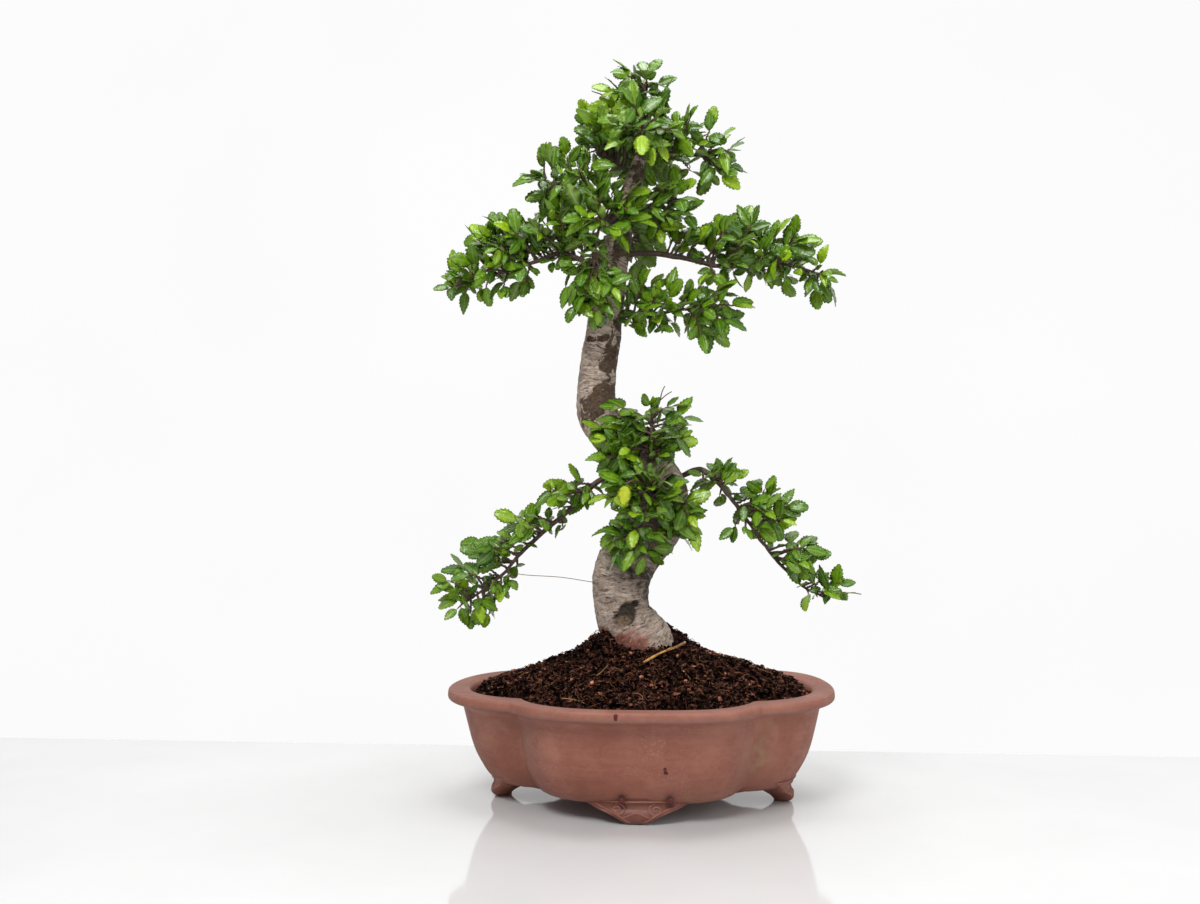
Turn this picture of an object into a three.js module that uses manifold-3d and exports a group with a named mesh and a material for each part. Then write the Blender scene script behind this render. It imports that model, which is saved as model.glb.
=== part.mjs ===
// Chinese elm bonsai in a four-lobed clay pot, in millimetres, with +Z up.
// The origin is on the table under the middle of the pot, and the front looks along -Y.
import * as THREE from 'three';
import { mergeVertices } from 'three/addons/utils/BufferGeometryUtils.js';
import Module from 'manifold-3d';

const wasm = await Module();
wasm.setup();

// Gap that pieces resting on each other keep
const SEAT_GAP = 0.3;

// Pot
const POT_LENGTH = 300;
const POT_DEPTH = 230;
const POT_HEIGHT = 86;
const LONG_LOBE_HALF = 103;
const LONG_LOBE_POWER = 3;
const LONG_LOBE_TAPER = 0.7;
const END_LOBE_RADIUS = 75;
const END_LOBE_DEPTH = 81;
const END_LOBE_NARROWING = 0.4;
const NARROWING_INSET = 20;
const LOBE_BLEND = 2.5;
const POT_SIDES = 48;
const UNDERSIDE = 13;
const FLOOR = 20;
const DRAIN_DIAMETER = 20;
const DRAIN_SPACING = 96;

// Wall of the pot from the underside over the rim to the floor: [inset from the rim's edge, height]
const POT_WALL = [
  [46, UNDERSIDE],
  [36.3, 14.8],
  [26.6, 25],
  [20.1, 36.3],
  [14.8, 54.6],
  [12, 70.4],
  [0.6, 79],
  [0, 84.4],
  [1.6, POT_HEIGHT],
  [16.4, POT_HEIGHT],
  [18, 84.4],
  [22.4, 60],
  [39, 24],
  [51, FLOOR],
];

// Feet: a bracket bent under each lobe. Its lower edge is given as [half width, height, how far the face
// there stands out from the foot of the wall]
const FOOT_EDGE = [
  [5, 0, -1.1],
  [9.2, 1.5, 1],
  [16, 6, 3.2],
  [22.5, 8.6, 2.8],
  [31, 11.4, 1.2],
  [38, 15.5, 0.9],
  [48, 19.5, 5],
];
const FOOT_THICKNESS = 10.7;
const FOOT_INSET = 35.8;
const LONG_FOOT_BEND = 150;
const END_FOOT_SCALE = 0.72;

// Drainage mesh
const MESH_SIZE = 36;
const MESH_THICKNESS = 1.4;
const MESH_CELLS = 2;
const MESH_BAR = 2.4;

// Soil
const SOIL_EDGE_INSET = 19.2;
const SOIL_SIDE = [
  [52, FLOOR + SEAT_GAP],
  [35, 37.5],
  [SOIL_EDGE_INSET, 82],
];
const SOIL_RINGS = [0.92, 0.72, 0.5, 0.31];
const SOIL_RIM_HEIGHT = 88;
const SOIL_PEAK = 136;
const FULLER_SOIL = { height: 12, x: 17, y: 23, spread: 450 };

// Trunk from its foot in the soil to its tip: [x, y, z, radius]
const TRUNK = [
  [2, 0, 84, 17],
  [0, 0, 100, 27],
  [-2, 0, 112, 30],
  [-4.5, 0, 122, 28.5],
  [-9, 0, 132, 25],
  [-13.5, 1, 144, 22.8],
  [-17, 2, 161, 21.5],
  [-14, 5, 178, 22.2],
  [-2, 6, 196, 21.6],
  [11.5, 3, 212, 20.2],
  [16.5, -2, 227.5, 19.3],
  [12.6, -5, 245.5, 18.5],
  [-1, -4, 264, 17.5],
  [-20.6, 0, 280.5, 16.6],
  [-33.4, 5, 297.5, 15.8],
  [-35.8, 8, 313, 15.3],
  [-34.2, 8, 338, 15],
  [-30.5, 6, 364, 14.6],
  [-25.6, 3, 395, 13],
  [-21.4, 1, 414.5, 11.5],
  [-16.7, 0, 438, 10],
  [-12, 0, 461, 8.2],
  [-5.8, 0, 480.5, 6.5],
  [-0.4, 0, 500, 5],
  [1.2, 0, 519.5, 3.4],
];
const TRUNK_SIDES = 11;
const ROOTS = [
  { angle: 0.35, length: 62, dip: 26 },
  { angle: 1.8, length: 54, dip: 24 },
  { angle: 3.3, length: 60, dip: 28 },
  { angle: 4.9, length: 52, dip: 26 },
];
const ROOT_RADIUS = 9;
const ROOT_TIP_RADIUS = 3;
const ROOT_START = 112;

// Leaves and shoots
const LEAF_LENGTH = 19;
const LEAF_WIDTH = 11;
const LEAF_THICKNESS = 1.2;
const LEAF_DROOP = 1.6;
const LEAF_BASE = 1.8;
const LEAF_ANGLE = Math.PI / 3;
const LEAF_LIFT = 0.4;
const LEAF_ROLL = 0.35;
const SMALLEST_LEAF = 0.88;
const LEAF_SIZE_RANGE = 0.22;
const LEAF_MIDDLE = 0.42;
const PAIR_SPACING = 13;
const TIP_GAP = 5.5;
const OWN_LEAF_SHARE = 0.42;
const SHOOT_RADIUS = 1.15;
const SHOOT_TIP_RADIUS = 0.8;
const SHOOT_BARE = 0.12;
const SHOOT_LEAN = 0.35;
const SHOOT_ARCH = 0.14;
const SHOOT_SWAY = 0.2;
const SHALLOWEST_SHOOT = 0.72;
const SHORTEST_SHOOT = 9;
const SHOOT_STEP = 3;
const LIMB_SIDES = 4;
const LIMB_SEARCH_STEPS = 22;
const LIMB_START = 0.1;
const SHOOT_ROOM_START = 0.15;
const ROOM_BEADS = 8;
const LIMB_BEADS = 30;
const GOLDEN_ANGLE = Math.PI * (3 - Math.sqrt(5));
const BRANCH_CLEARANCE = 0.6;

// How much the faces of leaves look up, out of their mass and to the front or back, and at random
const FACE_UP = 0.45;
const FACE_OUT = 0.5;
const FACE_FRONT = 0.8;
const FACE_RANDOM = 0.7;

// Half of the toothed edge of a leaf: [share of its length, share of its half width]
const LEAF_EDGE = [
  [0.38, 1],
  [0.51, 0.8],
  [0.75, 0.76],
];

// Spheres that stand for a leaf: [share of its length, radius as a share of its width]
const LEAF_BEADS = [
  [0.2, 0.26],
  [0.38, 0.5],
  [0.6, 0.41],
  [0.8, 0.36],
];

// Branches: the limb's path from inside the trunk, its radius at both ends, and the leafy masses that it
// carries, each with its centre, its half sizes and how many shoots the full tree has there
const BRANCHES = [
  {
    name: 'branch_left_low',
    radius: [3.6, 1.1],
    path: [[4, -2, 262], [-32, -6, 247], [-56, -6, 224], [-75, -2, 208], [-95, 2, 190], [-106, 2, 177],
      [-122, 0, 163], [-137, -2, 152]],
    pads: [
      { centre: [-54, -8, 238], half: [26, 28, 17], shoots: 9 },
      { centre: [-86, 0, 213], half: [26, 30, 21], shoots: 10 },
      { centre: [-119, 0, 198], half: [21, 28, 20], shoots: 7 },
      { centre: [-132, 0, 162], half: [32, 32, 33], shoots: 15 },
    ],
  },
  {
    name: 'branch_right_low',
    radius: [3.3, 1],
    path: [[20, -2, 244], [42, -5, 255], [50, -6, 252], [61, -6, 243], [75, -3, 225], [88, 0, 207],
      [102, 2, 188], [122, 2, 167], [142, 0, 156]],
    pads: [
      { centre: [64, -4, 247], half: [22, 28, 18], shoots: 8 },
      { centre: [95, 0, 221], half: [26, 32, 27], shoots: 13 },
      { centre: [121, 0, 184], half: [21, 26, 18], shoots: 6 },
      { centre: [142, 0, 160], half: [32, 28, 20], shoots: 9 },
    ],
  },
  {
    name: 'branch_front_low',
    radius: [3, 1.1],
    path: [[9, -4, 254], [8, -26, 264], [9, -35, 280], [10, -36, 298]],
    pads: [
      { centre: [-9, -24, 278], half: [37, 24, 33], shoots: 15 },
      { centre: [21, -24, 285], half: [26, 24, 28], shoots: 10 },
    ],
  },
  {
    name: 'branch_front_hang',
    radius: [2.8, 1],
    path: [[18, -4, 234], [8, -28, 238], [4, -38, 226], [2, -40, 204]],
    pads: [
      { centre: [4, -34, 238], half: [40, 24, 26], shoots: 14 },
      { centre: [0, -36, 200], half: [34, 22, 22], shoots: 11 },
      { centre: [30, -24, 216], half: [19, 22, 24], shoots: 7 },
    ],
  },
  {
    name: 'branch_back_low',
    radius: [3, 1.2],
    path: [[6, 2, 258], [-2, 28, 264], [-8, 52, 258]],
    pads: [{ centre: [-4, 50, 256], half: [36, 30, 34], shoots: 13 }],
  },
  {
    name: 'branch_right_mid',
    radius: [3, 1],
    path: [[-28, 5, 373], [-10, -3, 375], [10, -4, 376], [32, -5, 379], [58, -5, 381]],
    pads: [
      { centre: [12, -6, 378], half: [28, 34, 29], shoots: 11 },
      { centre: [54, -5, 378], half: [37, 40, 28], shoots: 14 },
    ],
  },
  {
    name: 'branch_left_high',
    radius: [3.8, 1.1],
    path: [[-20, 1, 415], [-40, 2, 417], [-63, 2, 425], [-87, 0, 417], [-110, 0, 410], [-146, 0, 400]],
    pads: [
      { centre: [-70, 4, 438], half: [34, 40, 29], shoots: 13 },
      { centre: [-112, 0, 420], half: [34, 42, 37], shoots: 17 },
      { centre: [-142, 0, 402], half: [24, 32, 20], shoots: 7 },
    ],
  },
  {
    name: 'branch_right_high',
    radius: [4, 1.1],
    path: [[-19, 1, 421], [-2, 0, 424], [18, -2, 422], [40, -3, 417.5], [60, -2, 413], [85, 0, 412],
      [110, 0, 413.6], [142, 0, 404]],
    pads: [
      { centre: [36, -4, 437], half: [22, 30, 19], shoots: 7 },
      { centre: [76, 4, 425], half: [31, 40, 29], shoots: 13 },
      { centre: [118, 0, 413], half: [33, 38, 28], shoots: 15 },
      { centre: [143, 0, 404], half: [19, 26, 17], shoots: 5 },
    ],
  },
  {
    name: 'branch_back_high',
    radius: [3.2, 1.1],
    path: [[-19, 1, 424], [-14, 28, 438], [-6, 52, 447], [0, 66, 450]],
    pads: [{ centre: [-4, 60, 446], half: [40, 36, 34], shoots: 15 }],
  },
  {
    name: 'branch_front_high',
    radius: [2.8, 1],
    path: [[-17, 0, 436], [-25, -26, 446], [-31, -38, 432], [-34, -42, 404]],
    pads: [
      { centre: [-24, -34, 448], half: [38, 24, 32], shoots: 15 },
      { centre: [-35, -36, 394], half: [30, 20, 34], shoots: 12 },
    ],
  },
  {
    name: 'branch_right_crown',
    radius: [2.2, 0.9],
    path: [[-13, 0, 452], [6, -6, 459], [26, -10, 461]],
    pads: [{ centre: [11, -12, 463], half: [27, 34, 28], shoots: 13 }],
  },
  {
    name: 'branch_left_crown',
    radius: [2.6, 0.9],
    path: [[-12, 0, 458], [-36, -2, 468], [-60, -4, 476], [-82, -4, 482]],
    pads: [{ centre: [-60, -4, 482], half: [38, 38, 30], shoots: 18 }],
  },
  {
    name: 'branch_apex_left',
    radius: [2.2, 0.9],
    path: [[-5, 0, 484], [-20, 0, 495], [-36, 0, 503]],
    pads: [{ centre: [-30, 0, 515], half: [30, 34, 30], shoots: 14 }],
  },
  {
    name: 'branch_apex_right',
    radius: [2.4, 0.9],
    path: [[-3, 0, 489], [14, -2, 494], [30, -4, 497], [54, -5, 498]],
    pads: [{ centre: [46, -5, 500], half: [36, 36, 27], shoots: 16 }],
  },
  {
    name: 'branch_apex_front',
    radius: [2, 0.9],
    path: [[-1, 0, 498], [2, -20, 506], [4, -36, 511]],
    pads: [{ centre: [2, -40, 509], half: [36, 24, 28], shoots: 13 }],
  },
  {
    name: 'branch_apex_back',
    radius: [2, 0.9],
    path: [[-1, 0, 502], [2, 20, 508], [5, 40, 514]],
    pads: [{ centre: [0, 44, 511], half: [36, 26, 28], shoots: 13 }],
  },
  {
    name: 'branch_apex_top',
    radius: [2.8, 1],
    path: [[1, 0, 514], [2, 0, 536], [3, 0, 556]],
    pads: [{ centre: [-2, 0, 542], half: [31, 32, 33], shoots: 16 }],
  },
];

const COLORS = {
  clay: 0x82503f,
  soil: 0x2e1a12,
  bark: 0x857b76,
  mesh: 0x26312a,
  leaf: 0x2f6b1f,
};

const vector = (values) => new THREE.Vector3(values[0], values[1], values[2]);

// Part of a direction that is square to an axis
const squareTo = (direction, axis) => direction.clone()
  .addScaledVector(axis, -direction.dot(axis)).normalize();

// The same numbers between 0 and 1 for the same seed
function randomFrom(seed) {
  let state = seed;
  const next = () => {
    state = (state * 1664525 + 1013904223) % 4294967296;
    return state / 4294967296;
  };
  next();
  next();
  next();
  return next;
}

// Closed surface from a start point over rings of equal length to an end point.
// Rings turn counter-clockwise about the direction of travel.
function loft(start, rings, end) {
  const count = rings[0].length;
  const points = [start, ...rings.flat(), end];
  const index = [];
  const at = (ring, side) => 1 + ring * count + (side % count);
  const last = points.length - 1;
  for (let side = 0; side < count; side++) {
    index.push(0, at(0, side + 1), at(0, side));
    for (let ring = 0; ring + 1 < rings.length; ring++) {
      const [a, b] = [at(ring, side), at(ring, side + 1)];
      const [c, d] = [at(ring + 1, side + 1), at(ring + 1, side)];
      index.push(a, b, c, a, c, d);
    }
    index.push(at(rings.length - 1, side), at(rings.length - 1, side + 1), last);
  }
  const geometry = new THREE.BufferGeometry().setFromPoints(points);
  geometry.setIndex(index);
  return geometry;
}

function toSolid(source) {
  const bare = source.clone();
  bare.deleteAttribute('normal');
  bare.deleteAttribute('uv');
  const merged = mergeVertices(bare, 1e-4);
  const mesh = new wasm.Mesh({
    numProp: 3,
    vertProperties: new Float32Array(merged.attributes.position.array),
    triVerts: new Uint32Array(merged.index.array),
  });
  return new wasm.Manifold(mesh);
}

function toGeometry(solid) {
  const mesh = solid.getMesh();
  const geometry = new THREE.BufferGeometry();
  geometry.setAttribute('position', new THREE.BufferAttribute(new Float32Array(mesh.vertProperties), 3));
  geometry.setIndex(new THREE.BufferAttribute(new Uint32Array(mesh.triVerts), 1));
  geometry.computeVertexNormals();
  return geometry;
}

const join = (solids) => wasm.Manifold.union(solids);

// Keeps the one body that holds a cut piece together, without loose scraps
function largestBody(solid) {
  return solid.decompose().sort((a, b) => b.volume() - a.volume())[0];
}

function namedMesh(name, solid, material) {
  const mesh = new THREE.Mesh(toGeometry(solid), material);
  mesh.name = name;
  return mesh;
}

// Tapered tube round a curve; `radiusAt` takes the share of the curve and the angle. Each ring is square to the
// curve and turned as little as possible from the one before.
function tube(curve, steps, sides, radiusAt) {
  const rings = [];
  let normal = vector([1, 0.5, 0]);
  for (let step = 0; step <= steps; step++) {
    const share = step / steps;
    const centre = curve.getPoint(share);
    const along = curve.getTangent(share);
    normal = squareTo(normal, along);
    const binormal = new THREE.Vector3().crossVectors(along, normal);
    const ring = [];
    for (let side = 0; side < sides; side++) {
      const angle = (2 * Math.PI * side) / sides;
      const radius = radiusAt(share, angle);
      ring.push(centre.clone()
        .addScaledVector(normal, radius * Math.cos(angle))
        .addScaledVector(binormal, radius * Math.sin(angle)));
    }
    rings.push(ring);
  }
  return loft(curve.getPoint(0), rings, curve.getPoint(1));
}

// Plan outline of the pot, moved in by an inset: two long lobes with round shoulders, and two end lobes
function outlineRadius(angle, inset) {
  const across = Math.abs(Math.cos(angle));
  const along = Math.abs(Math.sin(angle));
  const longHalf = LONG_LOBE_HALF - LONG_LOBE_TAPER * inset;
  const longDepth = POT_DEPTH / 2 - inset;
  const longTerm = (across / longHalf) ** LONG_LOBE_POWER + (along / longDepth) ** LONG_LOBE_POWER;
  const long = longTerm ** (-1 / LONG_LOBE_POWER);
  const endShift = POT_LENGTH / 2 - END_LOBE_RADIUS;
  const endRadius = END_LOBE_RADIUS - inset;
  const endDepth = END_LOBE_DEPTH - inset - END_LOBE_NARROWING * Math.min(inset, NARROWING_INSET);
  const square = (across / endRadius) ** 2 + (along / endDepth) ** 2;
  const half = (endShift * across) / endRadius ** 2;
  const rest = (endShift / endRadius) ** 2 - 1;
  const end = (half + Math.sqrt(Math.max(0, half ** 2 - square * rest))) / square;
  return (long + end + Math.hypot(long - end, LOBE_BLEND)) / 2;
}

function outlineRing(inset, height, scale = 1) {
  const ring = [];
  for (let side = 0; side < POT_SIDES; side++) {
    const angle = (2 * Math.PI * side) / POT_SIDES;
    const radius = scale * outlineRadius(angle, inset);
    const x = radius * Math.cos(angle);
    const y = radius * Math.sin(angle);
    ring.push(new THREE.Vector3(x, y, typeof height === 'function' ? height(x, y, scale) : height));
  }
  return ring;
}

// Bracket foot bent to a radius round a centre, facing `facing`
function footSolid(scale, bend, bendCentre, facing) {
  const right = FOOT_EDGE.map(([half, height]) => new THREE.Vector2(scale * half, height));
  const left = right.map((point) => new THREE.Vector2(-point.x, point.y)).reverse();
  const shape = new THREE.Shape([...left, ...right]);
  const foot = new THREE.ExtrudeGeometry(shape, { depth: FOOT_THICKNESS, bevelEnabled: false });
  const position = foot.attributes.position;
  for (let i = 0; i < position.count; i++) {
    const height = position.getY(i);
    const [, , face] = FOOT_EDGE.find((row) => Math.abs(row[1] - height) < 0.01);
    const out = bend - FOOT_THICKNESS + position.getZ(i) + face;
    const angle = facing + position.getX(i) / bend;
    position.setXYZ(i, bendCentre[0] + out * Math.cos(angle), bendCentre[1] + out * Math.sin(angle), height);
  }
  return toSolid(foot);
}

function uprightCylinder(radius, height, sides, x, y, z) {
  const cylinder = new THREE.CylinderGeometry(radius, radius, height, sides);
  cylinder.rotateX(Math.PI / 2);
  cylinder.translate(x, y, z);
  return cylinder;
}

function potSolid() {
  const rings = POT_WALL.map(([inset, height]) => outlineRing(inset, height));
  const bowl = toSolid(loft(vector([0, 0, UNDERSIDE]), rings, vector([0, 0, FLOOR])));
  const longShift = LONG_FOOT_BEND + FOOT_INSET - POT_DEPTH / 2;
  const endShift = POT_LENGTH / 2 - END_LOBE_RADIUS;
  const endBend = END_LOBE_RADIUS - FOOT_INSET;
  const feet = [
    footSolid(1, LONG_FOOT_BEND, [0, longShift], -Math.PI / 2),
    footSolid(1, LONG_FOOT_BEND, [0, -longShift], Math.PI / 2),
    footSolid(END_FOOT_SCALE, endBend, [endShift, 0], 0),
    footSolid(END_FOOT_SCALE, endBend, [-endShift, 0], Math.PI),
  ];
  let pot = join([bowl, ...feet]);
  for (const side of [-1, 1]) {
    const drain = uprightCylinder(DRAIN_DIAMETER / 2, 20, 16, (side * DRAIN_SPACING) / 2, 0, FLOOR - 5);
    pot = pot.subtract(toSolid(drain));
  }
  return pot;
}

// Plastic screen with square openings, lying on the floor of the pot
function drainMeshSolid(side) {
  const pitch = (MESH_SIZE - MESH_BAR) / MESH_CELLS;
  const cell = pitch - MESH_BAR;
  const holes = [];
  for (let row = 0; row < MESH_CELLS; row++) {
    for (let column = 0; column < MESH_CELLS; column++) {
      const hole = new THREE.BoxGeometry(cell, cell, 3 * MESH_THICKNESS);
      hole.translate((column - (MESH_CELLS - 1) / 2) * pitch, (row - (MESH_CELLS - 1) / 2) * pitch, 0);
      holes.push(toSolid(hole));
    }
  }
  const plate = toSolid(new THREE.BoxGeometry(MESH_SIZE, MESH_SIZE, MESH_THICKNESS));
  return plate.subtract(join(holes))
    .translate((side * DRAIN_SPACING) / 2, 0, FLOOR + SEAT_GAP + MESH_THICKNESS / 2);
}

// Height of the mound: a cone with lumps, fuller behind and to the right of the trunk
function moundHeight(x, y, share) {
  const cone = THREE.MathUtils.lerp(SOIL_PEAK, SOIL_RIM_HEIGHT, share);
  const offCentre = (x - FULLER_SOIL.x) ** 2 + (y - FULLER_SOIL.y) ** 2;
  const lumps = 1.3 * Math.sin(0.085 * x + 0.9) * Math.cos(0.11 * y);
  const hollows = 0.9 * Math.sin(0.07 * x - 0.12 * y + 2);
  return cone + FULLER_SOIL.height * Math.exp(-offCentre / FULLER_SOIL.spread) + lumps + hollows;
}

function soilSolid(trunkHole) {
  const rings = [
    ...SOIL_SIDE.map(([inset, height]) => outlineRing(inset, height)),
    ...SOIL_RINGS.map((share) => outlineRing(SOIL_EDGE_INSET, moundHeight, share)),
  ];
  const mound = toSolid(loft(vector([0, 0, FLOOR + SEAT_GAP]), rings, vector([0, 0, SOIL_PEAK])));
  const pocketSize = MESH_SIZE + 2 * SEAT_GAP;
  const pockets = [-1, 1].map((side) => {
    const pocket = new THREE.BoxGeometry(pocketSize, pocketSize, 2 * (MESH_THICKNESS + 2 * SEAT_GAP));
    pocket.translate((side * DRAIN_SPACING) / 2, 0, FLOOR);
    return toSolid(pocket);
  });
  return largestBody(mound.subtract(join([trunkHole, ...pockets])));
}

// Trunk with its buried roots, or the same shape grown by `extra` all round
function trunkSolid(extra) {
  const curve = new THREE.CatmullRomCurve3(TRUNK.map(vector), false, 'catmullrom', 0.5);
  const spans = TRUNK.length - 1;
  const stem = tube(curve, spans, TRUNK_SIDES, (share, angle) => {
    const radius = TRUNK[Math.round(share * spans)][3];
    const oval = 0.05 * Math.sin(2 * angle + 9 * share);
    const ribs = 0.03 * Math.sin(3 * angle + 20 * share);
    return radius * (1 + oval + ribs) + extra;
  });
  const roots = ROOTS.map((root) => {
    const out = new THREE.Vector3(Math.cos(root.angle), Math.sin(root.angle), 0);
    const start = vector([0, 0, ROOT_START]).addScaledVector(out, 6);
    const middle = vector([0, 0, ROOT_START - root.dip * 0.35]).addScaledVector(out, root.length * 0.55);
    const end = vector([0, 0, ROOT_START - root.dip]).addScaledVector(out, root.length);
    const path = new THREE.QuadraticBezierCurve3(start, middle, end);
    const taper = (share) => THREE.MathUtils.lerp(ROOT_RADIUS, ROOT_TIP_RADIUS, share) + extra;
    return toSolid(tube(path, 1, 4, taper));
  });
  return join([toSolid(stem), ...roots]);
}

// Spheres that stand for what is placed, so that leaves and shoots keep clear of it
const beads = [];

function isClear(candidate, owner, ownShare) {
  return candidate.every((bead) => beads.every((other) => {
    const reach = bead.radius + other.radius;
    const needed = other.owner === owner ? ownShare * reach : reach + BRANCH_CLEARANCE;
    return bead.centre.distanceToSquared(other.centre) > needed * needed;
  }));
}

const areApart = (beadsA, beadsB) => beadsA.every((a) => beadsB.every((b) => (
  a.centre.distanceTo(b.centre) > a.radius + b.radius)));

function leafBeads(base, axis, size, owner) {
  return LEAF_BEADS.map(([share, radius]) => ({
    centre: base.clone().addScaledVector(axis, share * size * LEAF_LENGTH),
    radius: radius * size * LEAF_WIDTH,
    owner,
  }));
}

function curveBeads(curve, from, count, radiusAt, owner) {
  const list = [];
  for (let i = 0; i <= count; i++) {
    const share = from + ((1 - from) * i) / count;
    list.push({ centre: curve.getPoint(share), radius: radiusAt(share), owner });
  }
  return list;
}

// Where the k-th shoot of a leafy mass ends: spread evenly over its ellipsoid
function shootTip(pad, k, random) {
  const height = 1 - (2 * k + 1) / pad.shoots;
  const turn = k * GOLDEN_ANGLE + pad.centre[0];
  const around = Math.sqrt(1 - height * height);
  const depth = THREE.MathUtils.lerp(SHALLOWEST_SHOOT, 1, random());
  const reach = pad.half.map((half) => depth * (half - LEAF_LENGTH / 2));
  return vector(pad.centre).add(vector([
    reach[0] * around * Math.cos(turn),
    reach[1] * around * Math.sin(turn),
    reach[2] * height,
  ]));
}

// Shoot from the nearest stretch of the limb, leaning forward and arching up to its tip
function shootCurve(limb, tip, random) {
  let nearest = LIMB_START;
  let best = Infinity;
  for (let step = 0; step <= LIMB_SEARCH_STEPS; step++) {
    const share = THREE.MathUtils.lerp(LIMB_START, 1, step / LIMB_SEARCH_STEPS);
    const distance = limb.getPoint(share).distanceTo(tip);
    if (distance < best) {
      best = distance;
      nearest = share;
    }
  }
  const root = limb.getPoint(Math.max(LIMB_START, nearest - (SHOOT_LEAN * best) / limb.getLength()));
  const bow = root.clone().lerp(tip, 0.5);
  bow.z += SHOOT_ARCH * best;
  bow.x += SHOOT_SWAY * best * (random() - 0.5);
  bow.y += SHOOT_SWAY * best * (random() - 0.5);
  return new THREE.QuadraticBezierCurve3(root, bow, tip);
}

const jitter = (random, amount) => vector([random() - 0.5, random() - 0.5, random() - 0.5])
  .multiplyScalar(amount);

// Direction that the faces of a shoot's leaves look in: up, out of the leafy mass and to the front or back
function faceDirection(shoot, pad, random) {
  const outward = shoot.v2.clone().sub(vector(pad.centre)).normalize();
  const face = vector([0, Math.sign(outward.y) * FACE_FRONT, FACE_UP])
    .addScaledVector(outward, FACE_OUT)
    .add(jitter(random, FACE_RANDOM));
  return squareTo(face, shoot.v2.clone().sub(shoot.v0).normalize());
}

// Leaves of a shoot: pairs, one a little behind the other, and one leaf at the tip
function planLeaves(shoot, pad, random, owner) {
  const length = shoot.getLength();
  const face = faceDirection(shoot, pad, random);
  const leaves = [];
  const plan = (from, to, side) => {
    const share = (from + to) / 2 / length;
    const along = shoot.getTangent(share);
    const up = squareTo(face, along);
    const across = new THREE.Vector3().crossVectors(up, along);
    const angle = side * LEAF_ANGLE;
    const axis = along.clone().multiplyScalar(Math.cos(angle))
      .addScaledVector(across, Math.sin(angle))
      .addScaledVector(up, LEAF_LIFT * (random() - LEAF_LIFT)).normalize();
    const normal = squareTo(up.add(jitter(random, LEAF_ROLL)), axis);
    const size = SMALLEST_LEAF + LEAF_SIZE_RANGE * random();
    const room = leafBeads(shoot.getPoint(share), axis, size, owner);
    if (isClear(room, owner, OWN_LEAF_SHARE) && leaves.every((leaf) => areApart(room, leaf.room))) {
      leaves.push({ from, to, side, axis, normal, size, room });
    }
  };
  plan(length, length, 0);
  for (let end = length - TIP_GAP; end - 2 * LEAF_BASE > SHOOT_BARE * length; end -= PAIR_SPACING) {
    plan(end - LEAF_BASE, end, -1);
    plan(end - 2 * LEAF_BASE, end - LEAF_BASE, 1);
  }
  leaves.forEach((leaf) => beads.push(...leaf.room));
  return { leaves, face };
}

// Toothed blade on a surface: its back starts at the points `left` and `right` and is flat across, and its
// face starts at the ridge points between them and rises to the middle. It droops to its tip, and its back is
// split into triangles that bulge away from its face.
function addLeaf(surface, left, ridges, right, leaf) {
  const length = leaf.size * LEAF_LENGTH;
  const halfWidth = (leaf.size * LEAF_WIDTH) / 2;
  const base = surface.points[left].clone().lerp(surface.points[right], 0.5);
  const toRight = new THREE.Vector3().crossVectors(leaf.axis, leaf.normal);
  const place = (share, width, height = 0) => surface.points.push(base.clone()
    .addScaledVector(leaf.axis, share * length)
    .addScaledVector(toRight, width * halfWidth)
    .addScaledVector(leaf.normal, height - LEAF_DROOP * share * share)) - 1;
  const height = (point) => surface.points[point].dot(leaf.normal);
  const rightSide = [right, ...LEAF_EDGE.map(([share, width]) => place(share, width))];
  const leftSide = [left, ...LEAF_EDGE.map(([share, width]) => place(share, -width))];
  const tip = place(1, 0);
  const middle = place(LEAF_MIDDLE, 0, LEAF_THICKNESS);
  const rim = [...rightSide, tip, ...leftSide.toReversed(), ...ridges];
  for (let i = 0; i < rim.length; i++) {
    surface.index.push(rim[i], rim[(i + 1) % rim.length], middle);
  }
  for (let i = 0; i < LEAF_EDGE.length; i++) {
    const [a, b, c, d] = [leftSide[i], leftSide[i + 1], rightSide[i + 1], rightSide[i]];
    if (height(a) + height(c) < height(b) + height(d)) {
      surface.index.push(a, b, c, a, c, d);
    } else {
      surface.index.push(a, b, d, b, c, d);
    }
  }
  surface.index.push(leftSide.at(-1), tip, rightSide.at(-1));
}

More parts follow.
